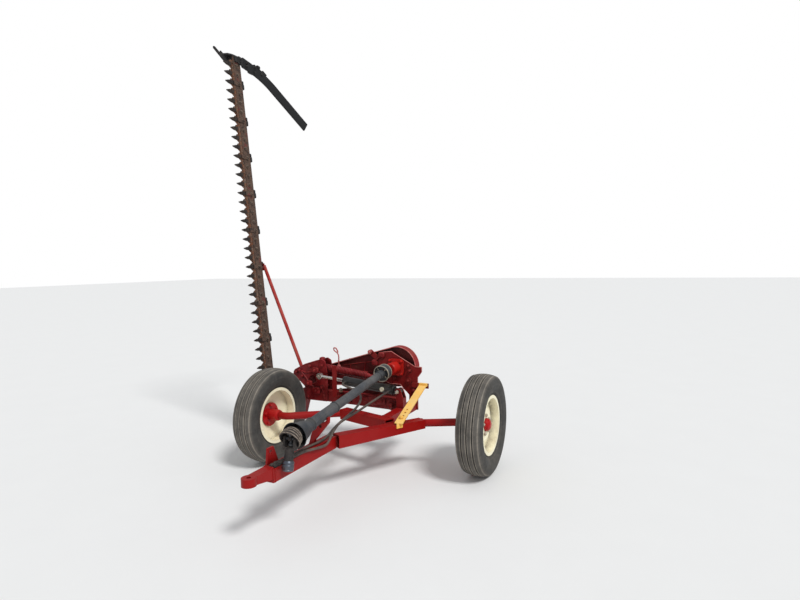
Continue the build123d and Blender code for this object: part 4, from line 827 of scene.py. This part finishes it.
def build_materials(paints):
    """Every finish of the machine, by name."""
    build_groups()
    bright, shade, cover, cream, yellow = (
        tuple(255 * c for c in value)
        for value in (paints.red, paints.shade_red, paints.faded_red, paints.cream, paints.yellow)
    )
    recipes = {
        "frame_red": (paint, bright, cover, 0.18, 0.10, 0.45, 0.7, 0.30, 4.0, 0.1),
        "housing_red": (paint, (178, 12, 10), (202, 58, 46), 0.25, 0.1, 0.4, 0.6, 0.24),
        "mower_red": (paint, shade, cover, 0.26, 0.18, 0.6, 1.0, 0.36, 7.0, 0.8),
        "rod_red": (paint, (152, 34, 30), (186, 84, 74), 0.55, 0.25, 0.6, 0.5, 0.4, 14.0, 0.7),
        "shield_red": (paint, shade, cover, 0.55, 0.3, 0.6, 0.7, 0.4, 5.0, 0.4),
        # Painted shade: the panel's red is darkened as if it lies in shade, and the arm's stiffener
        # wears it too
        "shaded_panel_red": (paint, (74, 5, 11), (118, 28, 32), 0.5, 0.25, 0.4, 0.9, 0.42, 9.0, 1.0),
        "lift_red": (paint, (112, 9, 16), (166, 58, 60), 0.42, 0.16, 0.6, 1.0, 0.3, 16.0, 0.8),
        # A pale red for rolled edges, the lip and the handle: partly wear, partly a painted
        # highlight
        "worn_edge_red": (
            paint, (176, 74, 74), (206, 138, 130), 0.8, 0.3, 0.3, 0.2, 0.4, 30.0, 0.5),
        "cap_red": (paint, (168, 11, 16), (192, 54, 52), 0.3, 0.12, 0.3, 0.5, 0.22),
        "rim_cream": (paint, cream, (240, 230, 196), 0.5, 0.42, 0.6, 0.8, 0.34, 4.0, 0.15,
                      (126, 100, 70), (96, 66, 42)),
        "strap_yellow": (paint, yellow, (250, 214, 138), 0.6, 0.16, 0.7, 0.4, 0.4, 14.0, 0.6,
                         (170, 132, 78), (96, 60, 34)),
        "port_cap_cream": (paint, (204, 200, 176), (168, 158, 138), 0.5, 0.2, 0.2, 0.4, 0.5),
        "tyre_rubber": (tyre_rubber,),
        "shaft_shield": (moulded, (40, 45, 52), (72, 76, 82), 0.2, 0.55, 0.0125),
        "cone_black": (moulded, (34, 39, 45), (62, 66, 71), 0.18),
        "ring_grey": (moulded, (120, 112, 100), (186, 176, 158), 0.4, 0.6),
        "hose_rubber": (moulded, (46, 39, 37), (90, 76, 70), 0.28, 0.6),
        "barrel_black": (moulded, (14, 14, 15), (36, 34, 34), 0.14, 0.3),
        "joint_iron": (rusty_steel, (20, 19, 21), (44, 40, 40), (86, 74, 66), 0.9, 0.12, 30.0),
        "nut_brown": (rusty_steel, (44, 34, 30), (96, 78, 66), (178, 160, 138), 1.0, 0.1, 60.0),
        # Pale iron for the collar's ridges: a painted highlight on rusty iron
        "ridge_highlight_iron": (
            rusty_steel, (92, 80, 72), (132, 120, 108), (186, 176, 162), 1.0, 0.1, 44.0),
        "bar_iron": (rusty_steel, (38, 27, 24), (82, 61, 50), (150, 116, 88), 0.7, 0.16, 34.0,
                     (92, 34, 32), 60),
        "bracket_black": (rusty_steel, (10, 10, 12), (26, 26, 29), (70, 64, 58), 0.5, 0.08, 20.0),
        "yoke_ring": (bright_steel, (92, 98, 108), 0.3, 0.5),
        "rod_chrome": (bright_steel, (232, 230, 226), 0.12, 0.1),
        "knife_steel": (bright_steel, (138, 124, 112), 0.4, 1.4),
        "bolt_steel": (bright_steel, (190, 182, 168), 0.3, 0.6),
        "board_black": (weathered_board,),
    }
    return {
        key: make(key.replace("_", " ").capitalize(), *values)
        for key, (make, *values) in recipes.items()
    }


class MowerStageSettings(bpy.types.PropertyGroup):
    """The view and the light."""

    focal_length: bpy.props.FloatProperty(
        name="Focal length", description="Lens of the view", default=24.975, min=10,
        unit="CAMERA")
    camera_place: bpy.props.FloatVectorProperty(
        name="Camera place", description="Where the view is taken from", size=3,
        default=(2.206, -3.361, 1.479), subtype="TRANSLATION", unit="LENGTH")
    floor_colour: bpy.props.FloatVectorProperty(
        name="Floor", description="The pale floor's colour", size=3,
        default=(0.80, 0.80, 0.79), subtype="COLOR")
    sky_light: bpy.props.FloatProperty(
        name="Sky light", description="Strength of the light from all round", default=0.55, min=0)
    key_light: bpy.props.FloatProperty(
        name="Key light", description="Strength of the soft main light", default=2.1, min=0)


class MowerPaintSettings(bpy.types.PropertyGroup):
    """The written colours of the machine's paints."""

    red: bpy.props.FloatVectorProperty(
        name="Frame red", description="The repainted frame's bright red", size=3,
        default=(0.57, 0.015, 0.016), subtype="COLOR_GAMMA")
    shade_red: bpy.props.FloatVectorProperty(
        name="Mower red", description="The older, darker red of the shield and lift", size=3,
        default=(0.45, 0.02, 0.035), subtype="COLOR_GAMMA")
    faded_red: bpy.props.FloatVectorProperty(
        name="Faded red", description="Red paint chalked by the sun", size=3,
        default=(0.66, 0.17, 0.18), subtype="COLOR_GAMMA")
    cream: bpy.props.FloatVectorProperty(
        name="Rim cream", description="The wheels' paint", size=3,
        default=(0.98, 0.955, 0.84), subtype="COLOR_GAMMA")
    yellow: bpy.props.FloatVectorProperty(
        name="Strap yellow", description="The transport strap's paint", size=3,
        default=(0.98, 0.745, 0.33), subtype="COLOR_GAMMA")


class MowerTyreSettings(bpy.types.PropertyGroup):
    """The ribbed tyres."""

    radius: bpy.props.FloatProperty(
        name="Radius", description="From the axle to the tread", default=0.350, min=0.1,
        unit="LENGTH")
    width: bpy.props.FloatProperty(
        name="Width", description="Across the side walls", default=0.183, min=0.05,
        unit="LENGTH")
    tread: bpy.props.FloatProperty(
        name="Tread", description="Across the tread", default=0.150, min=0.04, unit="LENGTH")
    groove_width: bpy.props.FloatProperty(
        name="Groove width", description="Width of each groove", default=0.0085, min=0.001,
        unit="LENGTH")
    groove_depth: bpy.props.FloatProperty(
        name="Groove depth", description="Depth of each groove", default=0.0075, min=0.0,
        unit="LENGTH")
    steps: bpy.props.IntProperty(
        name="Steps", description="Faces round the tyre", default=144, min=24, max=400)


class MowerSpringSettings(bpy.types.PropertyGroup):
    """The float spring."""

    wire: bpy.props.FloatProperty(
        name="Wire", description="Thickness of the spring's wire", default=0.0125, min=0.001,
        unit="LENGTH")
    across: bpy.props.FloatProperty(
        name="Outside", description="Width across the spring's coils", default=0.060, min=0.01,
        unit="LENGTH")


class MOWER_OT_stage(bpy.types.Operator):
    """Place the camera, the pale floor, the soft light and the white surroundings"""

    bl_idname = "mower.stage"
    bl_label = "Stage"

    def execute(self, context):
        settings = context.scene.mower_stage
        yaw, pitch, roll = (math.radians(a) for a in (26.04, 3.815, -0.9))
        ahead = Vector((-math.sin(yaw), math.cos(yaw), 0))
        right = Vector((math.cos(yaw), math.sin(yaw), 0))
        over = ahead * math.sin(pitch) + Vector(UPWARDS) * math.cos(pitch)
        look = ahead * math.cos(pitch) - Vector(UPWARDS) * math.sin(pitch)
        across = right * math.cos(roll) + over * math.sin(roll)
        top = over * math.cos(roll) - right * math.sin(roll)
        view = bpy.data.cameras.new("View")
        view.lens = settings.focal_length
        view.sensor_width = 36
        camera = bpy.data.objects.new("View", view)
        turn = Matrix((across, top, -look)).transposed().to_4x4()
        camera.matrix_world = Matrix.Translation(settings.camera_place) @ turn
        context.scene.collection.objects.link(camera)
        context.scene.camera = camera

        key = bpy.data.lights.new("Key", "SUN")
        key.energy = settings.key_light
        key.angle = math.radians(14)
        lamp = bpy.data.objects.new("Key", key)
        lamp.matrix_world = Vector((0.55, -0.30, 0.78)).to_track_quat("Z", "Y").to_matrix().to_4x4()
        context.scene.collection.objects.link(lamp)

        world = bpy.data.worlds.new("Studio")
        world.use_nodes = True
        world.node_tree.nodes.clear()
        g = Graph(world.node_tree)
        ray = g.add("ShaderNodeLightPath").outputs
        sky = g.add("ShaderNodeBackground", {
            "Color": (0.95, 0.97, 1.0, 1), "Strength": settings.sky_light})
        white = g.add("ShaderNodeBackground", {"Color": (1, 1, 1, 1), "Strength": 1.0})
        seen = g.sum("MAXIMUM", ray["Is Camera Ray"], ray["Is Transmission Ray"])
        both = g.add("ShaderNodeMixShader", {0: seen, 1: sky.outputs[0], 2: white.outputs[0]})
        g.add("ShaderNodeOutputWorld", {"Surface": both.outputs[0]})
        context.scene.world = world

        side = 45.0
        mesh = bpy.data.meshes.new("Floor")
        corners = [(-side, -side, 0), (side, -side, 0), (side, side, 0), (-side, side, 0)]
        mesh.from_pydata(corners, [], [(0, 1, 2, 3)])
        floor = bpy.data.objects.new("Floor", mesh)
        m = Finish("Floor")
        pale = (*settings.floor_colour, 1)
        body = m.mix(m.noise(3, 4), pale, tuple(min(1, c * 1.03) for c in pale))
        mesh.materials.append(m.shaded({"Base Color": body, "Roughness": 0.9}))
        context.scene.collection.objects.link(floor)
        context.scene.view_settings.view_transform = "Standard"
        return {"FINISHED"}


class MOWER_OT_finishes(bpy.types.Operator):
    """Give every part of the frame its weathered finish"""

    bl_idname = "mower.finishes"
    bl_label = "Finishes"

    def execute(self, context):
        FINISHES.update(build_materials(context.scene.mower_paint))
        for finish, names in LOOKS.items():
            for name in names.split():
                materials = NODES[name].data.materials
                materials.clear()
                materials.append(FINISHES[finish])
        return {"FINISHED"}


class MOWER_OT_hoses(bpy.types.Operator):
    """Make the two hydraulic hoses with their crimped ends and couplers"""

    bl_idname = "mower.hoses"
    bl_label = "Hoses"

    def execute(self, context):
        for name, (length, follows, route) in HOSES.items():
            points = at(route)
            run = smooth_run(points)
            hose = put(f"{name}_line", carried(run, 0.008, 16), "hose_rubber", None, sharp=50)
            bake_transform(hose)
            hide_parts(name)
            port_end = turned(PORT_END, points[0], FORWARDS, 20)
            coupler = turned(COUPLER, points[-1], FORWARDS, 20)
            ends = [
                put(f"{name}_port_end", port_end, "joint_iron", "cylinder_barrel"),
                put(f"{name}_coupler", coupler, "joint_iron", "frame"),
            ]
        return {"FINISHED"}


class MOWER_OT_tyres(bpy.types.Operator):
    """Make the two ribbed tyres, with dusty rib edges and ringed side walls"""

    bl_idname = "mower.tyres"
    bl_label = "Tyres"

    def execute(self, context):
        t = context.scene.mower_tyre
        seat, seat_r, foot, rim_r, drop = 0.0595, 0.2115, 0.1908, 0.1905, 0.013

        # A wall is an arc from the rim's seat to the tread's edge, with rings raised from it
        widest = (-t.width / 2, (rim_r + t.radius) / 2)
        wall = arc_through((-seat, seat_r), widest, (-t.tread / 2, t.radius - drop), 34)
        share = np.linspace(0, 1, len(wall))
        rings = sum(
            height * np.exp(-(((share - middle) / wide) ** 2))
            for height, middle, wide in WALL_RINGS
        )
        slope = np.gradient(wall, axis=0)
        outward = unit(np.stack([-slope[:, 1], slope[:, 0]], 1))
        outward *= np.sign(-outward[:, :1])
        wall = wall + outward * (rings - 0.0012)[:, None]

        # The tread is a parabola across, less the depth of three grooves
        a = np.linspace(-t.tread / 2, t.tread / 2, 131)
        off = np.abs(a[:, None] - np.array([-0.25, 0.0, 0.25]) * t.tread).min(1)
        cut = np.clip((t.groove_width / 2 + 0.0008 - off) / 0.0016, 0, 1)
        crown = t.radius - drop * (2 * a / t.tread) ** 2 - t.groove_depth * cut
        tread = np.stack([a, crown], 1)[1:-1]
        other = wall[::-1] * [-1, 1]
        profile = np.concatenate([[(-seat, foot)], wall, tread, other, [(seat, foot)]])

        # Wear, from 0 to 1, is highest on the rings and at the edges of the ribs
        edge = np.exp(-(((off - t.groove_width / 2 - 0.0022) / 0.0022) ** 2))
        edge += np.exp(-((t.tread / 2 - np.abs(a)) / 0.005) ** 2)
        wall_worn = 0.10 + 0.5 * np.exp(-((1 - share) / 0.05)) + 60 * rings
        tread_worn = np.clip(0.28 + 0.85 * edge - 0.3 * cut, 0, 1)[1:-1]
        worn = np.repeat(np.r_[0, wall_worn, tread_worn, wall_worn[::-1], 0], t.steps)
        for side, (_, centre) in WHEELS.items():
            shape = turned(profile / MM, at(centre), (1, 0, 0), t.steps, closed=True)
            tyre = put(f"tyre_{side}_ribbed", shape, "tyre_rubber", f"wheel_{side}", sharp=50,
                       attribute=worn)
            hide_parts(f"tyre_{side}")
        return {"FINISHED"}


class MOWER_OT_wheel_details(bpy.types.Operator):
    """Add the wheel bolts, their heads behind the rims and the valve stems"""

    bl_idname = "mower.wheel_details"
    bl_label = "Wheel details"

    def execute(self, context):
        ring = 68 * around(REARWARDS, UPWARDS, even_turn(5) + 0.35)
        for side, (out, centre) in WHEELS.items():
            body = f"wheel_{side}"
            centre = np.array(centre, float)
            bolt(body, "bolt_steel", (out, 0, 0), 19, False, 4, centre + [out * 25, 0, 0] + ring)
            bolt(body, "cap_red", (-out, 0, 0), 19, False, 3, centre + [out * 8, 0, 0] + ring)
            foot = at(centre + [out * 12, 0, 0] + 148 * around(REARWARDS, UPWARDS, 2.2))
            stem = turned(VALVE_STEM, foot, (out, 0, 0), 12)
            put(f"valve_stem_{side}", stem, "tyre_rubber", body)
        return {"FINISHED"}


class MOWER_OT_drive_shaft(bpy.types.Operator):
    """Make the shaft's rear bell, the ridged collar, the joints' crosses and the yoke's collar"""

    bl_idname = "mower.drive_shaft"
    bl_label = "Drive shaft"

    def execute(self, context):
        rear, front = at(REAR_JOINT), at(FRONT_JOINT)

        def hoops(*profiles, centre=rear, axis=SHAFT_RUN):
            """Closed profiles turned round the shaft in 64 steps."""
            return joined(*[turned(p, centre, axis, 64, closed=True) for p in profiles])

        cup = put("shaft_rear_cup", hoops(CUP), "cone_black", "shaft_rear", sharp=30)
        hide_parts("shaft_rear_bell")
        rims = hoops(ellipse(57.5, 59.5, 5.5, 3.6), ellipse(-6, 56.5, 4, 2.4))
        put("shaft_rear_rim", rims, "ring_grey", "shaft_rear", sharp=60)
        spokes = around(*square_to(SHAFT_RUN), np.radians([45, 135, 225, 315]))
        ribs = repeated(lump(5, 4, 13.5, 0.6, 12), rear + SHAFT_RUN * 0.0445 + spokes * 0.0415,
                        spokes, hint=SHAFT_RUN)
        put("shaft_rear_ribs", ribs, "ring_grey", "shaft_rear")

        # The mouth's radius grows by the share of its length to the power 1.3
        mouth_from, mouth_to = SHAFT_LENGTH - 84, SHAFT_LENGTH - 40
        share = np.linspace(0, 1, 9)
        flare = np.stack([mouth_from + (mouth_to - mouth_from) * share, 61.5 + 16 * share**1.3], 1)
        mouth = np.concatenate([flare, [(mouth_to + 2, 76.5)], flare[::-1] - [0, 3.6]])
        mouth = hoops(mouth, ellipse(mouth_to + 1, 76.4, 2.6, 2.2))
        put("shaft_front_mouth", mouth, "cone_black", "shaft_front", sharp=50)

        def leaning(share, proud):
            """Rings about the joint: along its share, the axis leans from the shaft's S to
            0.62 S + 0.38 Y towards the yoke's, and the radius grows by the share's power 0.8."""
            lean = 0.38 * share[:, None]
            axes = unit(SHAFT_RUN * (1 - lean) + YOKE_RUN * lean)
            centres = front + MM * (-44 + 58 * share[:, None]) * axes
            side, up = (v[:, None] for v in square_to(axes))
            radii = MM * (50 + 10.5 * share**0.8 + proud)[:, None, None]
            return centres[:, None] + radii * around(side, up, even_turn(64))

        share = np.r_[np.linspace(0, 1, 41), np.linspace(1, 0, 21)]
        sleeve = leaning(share, np.r_[np.zeros(41), np.full(21, -4.0)]).reshape(-1, 3)
        put("shaft_front_collar", (sleeve, grid_faces(len(share), 64, True, True)), "joint_iron",
            "shaft_front", sharp=50)
        lines = leaning(np.array([0.3, 0.52, 0.74, 0.95]), np.array([1.2, 1.2, 1.2, 1.8]))
        ridges = [carried(line, 0.0036, hint=SHAFT_RUN, closed=True) for line in lines]
        # The ridges are pale iron on the dark sleeve: a painted highlight along each
        put("shaft_front_ridges", joined(*ridges), "ridge_highlight_iron", "shaft_front", sharp=60)
        steps = ((SHAFT_LENGTH - 490, 34.5), (SHAFT_LENGTH - 208, 38))
        rings = hoops(*[ellipse(place, radius, 7, 2.6) for place, radius in steps])
        put("shaft_front_rings", rings, "cone_black", "shaft_front", sharp=60)
        band = hoops(ellipse(116, 30.5, 6, 2.4))
        put("shaft_rear_band", band, "cone_black", "shaft_rear", sharp=60)

        across = unit(np.cross(SHAFT_RUN, UPWARDS))
        upward = np.cross(across, SHAFT_RUN)
        ends = np.array([across, -across, upward, -upward])

        def cross(centre):
            """A joint's four caps, 38 mm from its middle, and the cast block between them."""
            caps = repeated(turned(CROSS_CAP, steps=18), centre + ends * 0.038, ends)
            return caps, repeated(lump(15, 15, 13, 0.7), [centre], [upward])

        caps, middle = cross(front)
        grease = repeated(turned(GREASE_NIPPLE, steps=10), [front + (across - YOKE_RUN) * 0.010],
                          unit([across - YOKE_RUN * 0.6]))
        put("front_cross", joined(caps, grease, middle), "joint_iron", "shaft_front")
        put("rear_cross", joined(*cross(rear)), "joint_iron", "frame")

        lock = hoops(YOKE_COLLAR, centre=front, axis=YOKE_RUN)
        hub = front + YOKE_RUN * 0.098
        pin = repeated(lump(7, 9, 6, 0.6, 12), [hub + across * 0.027], [across])
        yoke_side = unit(np.cross(YOKE_RUN, across))
        clamp = repeated(hex_bolt(17, True, 4), [hub + yoke_side * 0.0255], [yoke_side])
        put("yoke_collar", joined(lock, pin, clamp), "yoke_ring", "shaft_yoke", sharp=40)
        return {"FINISHED"}


class MOWER_OT_spring(bpy.types.Operator):
    """Wind the float spring with its end plugs and eyes"""

    bl_idname = "mower.spring"
    bl_label = "Float spring"

    def execute(self, context):
        t = context.scene.mower_spring
        start, end = at(SPRING_IN), at(SPRING_OUT)
        length, axis = np.linalg.norm(end - start), unit(end - start)
        side, up = square_to(axis)

        # The wire's middle is a helix: start + way along axis + r (cos side + sin up)
        first, last = 0.058, length - 0.058
        turns = round((last - first) / (t.wire * 1.06))
        u = np.linspace(0, 1, turns * 20 + 1)
        ring = around(side, up, 2 * math.pi * turns * u)
        path = start + (first + (last - first) * u)[:, None] * axis + (t.across - t.wire) / 2 * ring
        plugs = [turned(profile, start, axis, 20) for profile in (
            SPRING_PLUG, np.array([length / MM, 0]) - SPRING_PLUG * [1, -1])]
        loop = 0.0135 * around(axis, up, even_turn(28))
        eyes = [carried(centre + loop, 0.005, hint=side, closed=True) for centre in (start, end)]
        shape = joined(carried(path, t.wire / 2, hint=axis), *plugs, *eyes)
        spring = put("float_spring_coil", shape, "lift_red", None, sharp=40)
        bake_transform(spring)
        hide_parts("float_spring")
        return {"FINISHED"}


class MOWER_OT_lift_details(bpy.types.Operator):
    """Add the casting's rolled edge, ribs and lumps, the arm's pad and stiffener"""

    bl_idname = "mower.lift_details"
    bl_label = "Lift details"

    def execute(self, context):
        shape = joined(
            upright_beads(CASTING_FRONT + 4, [(6.5, CASTING_EDGE)], True),
            upright_beads(340, [(6, CASTING_EDGE)], True),
            upright_beads(CASTING_FRONT, [(5, ellipse(-690, 540, 38, 38, 40))], True),
            upright_beads(CASTING_FRONT, CASTING_RIBS),
            lumps((30, 24, 13), 0.6, [(-721, 240, 506), (-655, 240, 618)]),
            lumps((37, 27, 12), 0.35, [(-651, 240, 454)]),
            lumps((26, 20, 22), 0.6, [(-620, 290, 700)], UPWARDS),
        )
        put("casting_ribs", shape, "lift_red", "lift", sharp=60)
        shape = joined(
            lumps((104, 34, 20), 0.55, [(-128, 262, 414)], steps=32, hint=(-0.05, 0, 1)),
            lumps((26, 22, 14), 0.75, [(-70, 246, 418), (-128, 244, 408), (-190, 248, 420)]),
            bead([(-20, 258, 442), (-90, 252, 449), (-230, 256, 452)], 6),
        )
        put("arm_pad", shape, "lift_red", "lift", sharp=60)

        # The stiffener: a plate on edge, 6 mm thick, its top edge rounded, and its two ends
        x, top = np.array(STIFFENER_TOP, float).T
        low = np.full(len(x), 438.0)
        edges = ((325, low), (325, top), (326.5, top + 1.5), (329.5, top + 1.5), (331, top),
                 (331, low))
        wall = at(np.stack([upright(np.stack([x, z], 1), y) for y, z in edges], 1))
        plate = (wall.reshape(-1, 3), grid_faces(*wall.shape[:2], False, True))
        ends = [(wall[i][[0, 1, 4, 5, 1, 2, 3, 4]], np.arange(8).reshape(2, 4)) for i in (0, -1)]
        # It wears the panel's red, darkened by painted shade
        put("arm_stiffener", joined(plate, *ends), "shaded_panel_red", "lift")

        shape = joined(
            lumps((41, 41, 12), 0.7, [(40, 241, 400)], steps=32),
            lumps((46, 20, 10), 0.6, [(86, 240, 384)], steps=24),
        )
        put("pivot_cover", shape, "lift_red", "frame", sharp=60)
        return {"FINISHED"}


class MOWER_OT_shield_details(bpy.types.Operator):
    """Add the shield's rolled lip, the stand's edges and the loop handle, pale with wear and a
    painted highlight, and the panel's ribs
    """

    bl_idname = "mower.shield_details"
    bl_label = "Shield details"

    def execute(self, context):
        outline = link_outline((0, 662), 156.5, (-800, 520), 64.5)
        # The lips are a paler red along the rims, partly a painted highlight
        lips = [upright_beads(y, [(r, outline)], True) for y, r in ((420, 3.6), (491, 3.4))]
        put("shield_lip", joined(*lips), "worn_edge_red", "frame", 60)
        knob = upright_beads(390, [(3.4, ellipse(-232, 768, 15, 15, 28))], True)
        edges = joined(upright_beads(405, STAND_EDGES), knob)
        put("stand_edges", edges, "worn_edge_red", "frame", sharp=60)
        handle = joined(
            bead(HANDLE_LOOP, 5.5), bead([(-546, 421, 618), (-546, 423, 704)], 5.5),
            lumps((10, 16, 12), 0.5, [(-546, 422, 628)], UPWARDS, 12),
        )
        put("shield_handle", handle, "worn_edge_red", "frame", 60)
        heads = repeated(rivet(8), at(upright(PANEL_RIVETS, 440)), FORWARDS)
        ribs = joined(upright_beads(439, PANEL_RIBS), heads)
        put("panel_ribs", ribs, "shield_red", "frame", sharp=60)
        bosses = lumps((30, 26, 16), 0.7, [(-192, 404, 684), (-128, 398, 748)])
        arm = bead([(-192, 396, 684), (-160, 396, 720), (-128, 392, 748)], 7)
        put("stand_bosses", joined(bosses, arm), "lift_red", "frame", sharp=60)
        return {"FINISHED"}


class MOWER_OT_cylinder_details(bpy.types.Operator):
    """Add the cylinder's gland, tail and bands, its spare port's cap and its eye's pin"""

    bl_idname = "mower.cylinder_details"
    bl_label = "Cylinder details"

    def execute(self, context):
        foot = at(CYLINDER_FOOT)
        run = unit(at(CYLINDER_EYE) - foot)
        bands = [ellipse(place, 36, 2.2, 1.6, 12) for place in (84, 420)]
        rings = [
            turned(profile, foot, run, 40, closed=True)
            for profile in (CYLINDER_GLAND, CYLINDER_TAIL, *bands)
        ]
        put("cylinder_ends", joined(*rings), "barrel_black", "cylinder_barrel", sharp=40)
        cap = turned(PORT_CAP, at((-6, 171, 533)), FORWARDS, 24)
        put("port_cap", cap, "port_cap_cream", "cylinder_barrel", sharp=40)
        pin_end = turned(PIN_END, at((-590, 185, 582)), FORWARDS, 20)
        arm_pin = repeated(hex_bolt(24, True, 4), at([(-430, 262, 470)]), FORWARDS)
        put("eye_pin_end", joined(pin_end, arm_pin), "bolt_steel", "lift", sharp=40)
        return {"FINISHED"}


class MOWER_OT_cutter_bar(bpy.types.Operator):
    """Add the cutter bar's section rivets, guard and clip bolts, wear plates' ends and ribs"""

    bl_idname = "mower.cutter_bar"
    bl_label = "Cutter bar"

    def execute(self, context):
        rivets = along_bar(np.concatenate([GUARDS - 19, GUARDS + 19]), 45, BAR_Z + 11)
        rivets = repeated(rivet(6.5), rivets, BAR_UP)
        put("section_rivets", rivets, "nut_brown", "knife")
        clipped, plain = GUARDS[1::4], np.delete(GUARDS, np.s_[1::4])
        nut = hex_bolt(19, True, 5)
        nuts = joined(
            repeated(nut, along_bar(plain, 4, BAR_Z + 12), BAR_UP,
                     turns=np.arange(len(plain)) * 0.7),
            repeated(nut, along_bar(clipped, -2, BAR_Z + 18.6), BAR_UP,
                     turns=np.arange(len(clipped)) * 1.1),
            repeated(rivet(12), along_bar(GUARDS, 4, BAR_Z - 10.4), -BAR_UP),
        )
        put("guard_bolts", nuts, "nut_brown", "bar")
        plates = joined(
            repeated(lump(24, 13, 11, 0.45, 16), along_bar(clipped - 6, -60, BAR_Z + 4), BAR_UP,
                     hint=REARWARDS),
            repeated(lump(15, 9, 8, 0.5, 12), along_bar(clipped + 26, -55, BAR_Z + 10), BAR_UP,
                     hint=REARWARDS),
        )
        put("wear_plate_ends", plates, "bracket_black", "bar", 60)
        ribs = repeated(lump(3.2, 26, 5.5, 0.7, 12), along_bar(GUARDS, 88, BAR_Z + 13), BAR_UP,
                        hint=BAR_OUT)
        put("guard_ribs", ribs, "bar_iron", "bar", sharp=60)
        return {"FINISHED"}


class MOWER_OT_swath_board(bpy.types.Operator):
    """Make the swath board with its bent start, its bolts and the bracket's lugs"""

    bl_idname = "mower.swath_board"
    bl_label = "Swath board"

    def execute(self, context):
        start, bend, end = (np.array(p, float) for p in BOARD)
        first_leg = bend - start

        # The board's bend: (1 - t)^2 A + 2 t (1 - t) B + t^2 C, from A over the corner B to C
        t = np.linspace(0, 1, 22)[:, None]
        first, last = start + 0.42 * first_leg, bend + 0.24 * (end - bend)
        curve = (1 - t) ** 2 * first + 2 * t * (1 - t) * bend + t**2 * last
        path = at(np.concatenate([
            np.linspace(start + 0.16 * first_leg, first, 8)[:-1], curve,
            np.linspace(last, end, 24)[1:],
        ]))
        # Its section is a C(u) across and b S(u) up, C and S squared off as in lump
        half_thick, half_wide, square, turn = 0.009, 0.0413, 0.22, even_turn(24)
        board = swept(
            path, 1, half_thick * squared(np.cos(turn), square),
            half_wide * squared(np.sin(turn), square))
        board = put("swath_board_bent", board, "board_black", "bar", sharp=50)
        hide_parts("swath_board")

        run = unit(first_leg)
        side = unit(np.cross(run, UPWARDS))
        up = np.cross(side, run)
        lug = start + 0.80 * first_leg + 45 * up
        lugs = joined(
            lumps((14, 22, 15), 0.4, [lug], UPWARDS, 16, side),
            lumps((9, 11, 9), 0.5, [lug - 52 * run - 1 * up], UPWARDS, 12, side),
            lumps((40, 7, 7), 0.5, [start + 0.5 * first_leg - 44 * up], UPWARDS, 16, side),
        )
        put("bracket_lugs", lugs, "bracket_black", "bar", sharp=60)
        spots = np.array([
            start + share * first_leg + lift * up + 10.2 * side
            for share, lift in ((0.3, 16), (0.3, -16), (0.62, 22), (0.62, -22), (0.9, 0))
        ])
        nuts = joined(
            repeated(hex_bolt(19, True, 4), at(spots), side),
            repeated(hex_bolt(19, True, 5), along_bar([3058, 3082], -38, -52), BAR_UP),
        )
        put("bracket_bolts", nuts, "bracket_black", "bar")
        return {"FINISHED"}


class MOWER_OT_fasteners(bpy.types.Operator):
    """Add the bolts, nuts and pins of the frame, the lift and the wheels"""

    bl_idname = "mower.fasteners"
    bl_label = "Fasteners"

    def execute(self, context):
        for row in FASTENERS:
            bolt(*row)
        for number, ((body, finish), shapes) in enumerate(BOLTS.items()):
            put(f"bolts_{body}_{number}", joined(*shapes), finish, body)
        return {"FINISHED"}


class MOWER_OT_welds(bpy.types.Operator):
    """Run the weld beads where the frame's members meet"""

    bl_idname = "mower.welds"
    bl_label = "Welds"

    def execute(self, context):
        beads = [weld(corners, size, *closed) for size, corners, *closed in WELDS]
        for centre, normal in AXLE_WELDS:
            ring = np.array(centre) + 29 * around(*square_to(normal), even_turn(48))
            beads.append(weld(ring, 5, True))
        put("weld_beads", joined(*beads), "frame_red", "frame")
        return {"FINISHED"}


class MOWER_PT_panel(bpy.types.Panel):
    """The mower's settings and steps"""

    bl_idname = "MOWER_PT_panel"
    bl_label = "Sickle Bar Mower"
    bl_space_type = "VIEW_3D"
    bl_region_type = "UI"
    bl_category = "Mower"

    def draw(self, context):
        layout = self.layout
        for key, kind in SETTINGS.items():
            box = layout.box()
            settings = getattr(context.scene, key)
            for name in kind.__annotations__:
                box.prop(settings, name)
        for operator in STEPS:
            layout.operator(operator.bl_idname)


SETTINGS = {
    "mower_stage": MowerStageSettings,
    "mower_paint": MowerPaintSettings,
    "mower_tyre": MowerTyreSettings,
    "mower_spring": MowerSpringSettings,
}
STEPS = [
    MOWER_OT_stage,
    MOWER_OT_finishes,
    MOWER_OT_hoses,
    MOWER_OT_tyres,
    MOWER_OT_wheel_details,
    MOWER_OT_drive_shaft,
    MOWER_OT_spring,
    MOWER_OT_lift_details,
    MOWER_OT_shield_details,
    MOWER_OT_cylinder_details,
    MOWER_OT_cutter_bar,
    MOWER_OT_swath_board,
    MOWER_OT_fasteners,
    MOWER_OT_welds,
]


def register():
    """Adds the classes and the scene's settings."""
    for kind in (*SETTINGS.values(), *STEPS, MOWER_PT_panel):
        bpy.utils.register_class(kind)
    for key, kind in SETTINGS.items():
        setattr(bpy.types.Scene, key, bpy.props.PointerProperty(type=kind))


def unregister():
    """Takes the settings and the classes away again."""
    for key in SETTINGS:
        delattr(bpy.types.Scene, key)
    for kind in (MOWER_PT_panel, *reversed(STEPS), *reversed(SETTINGS.values())):
        bpy.utils.unregister_class(kind)


def main():
    """Registers the classes and makes every piece in order."""
    register()
    for step in STEPS:
        group_name, step_name = step.bl_idname.split(".")
        getattr(getattr(bpy.ops, group_name), step_name)()


if __name__ == "__main__":
    main()
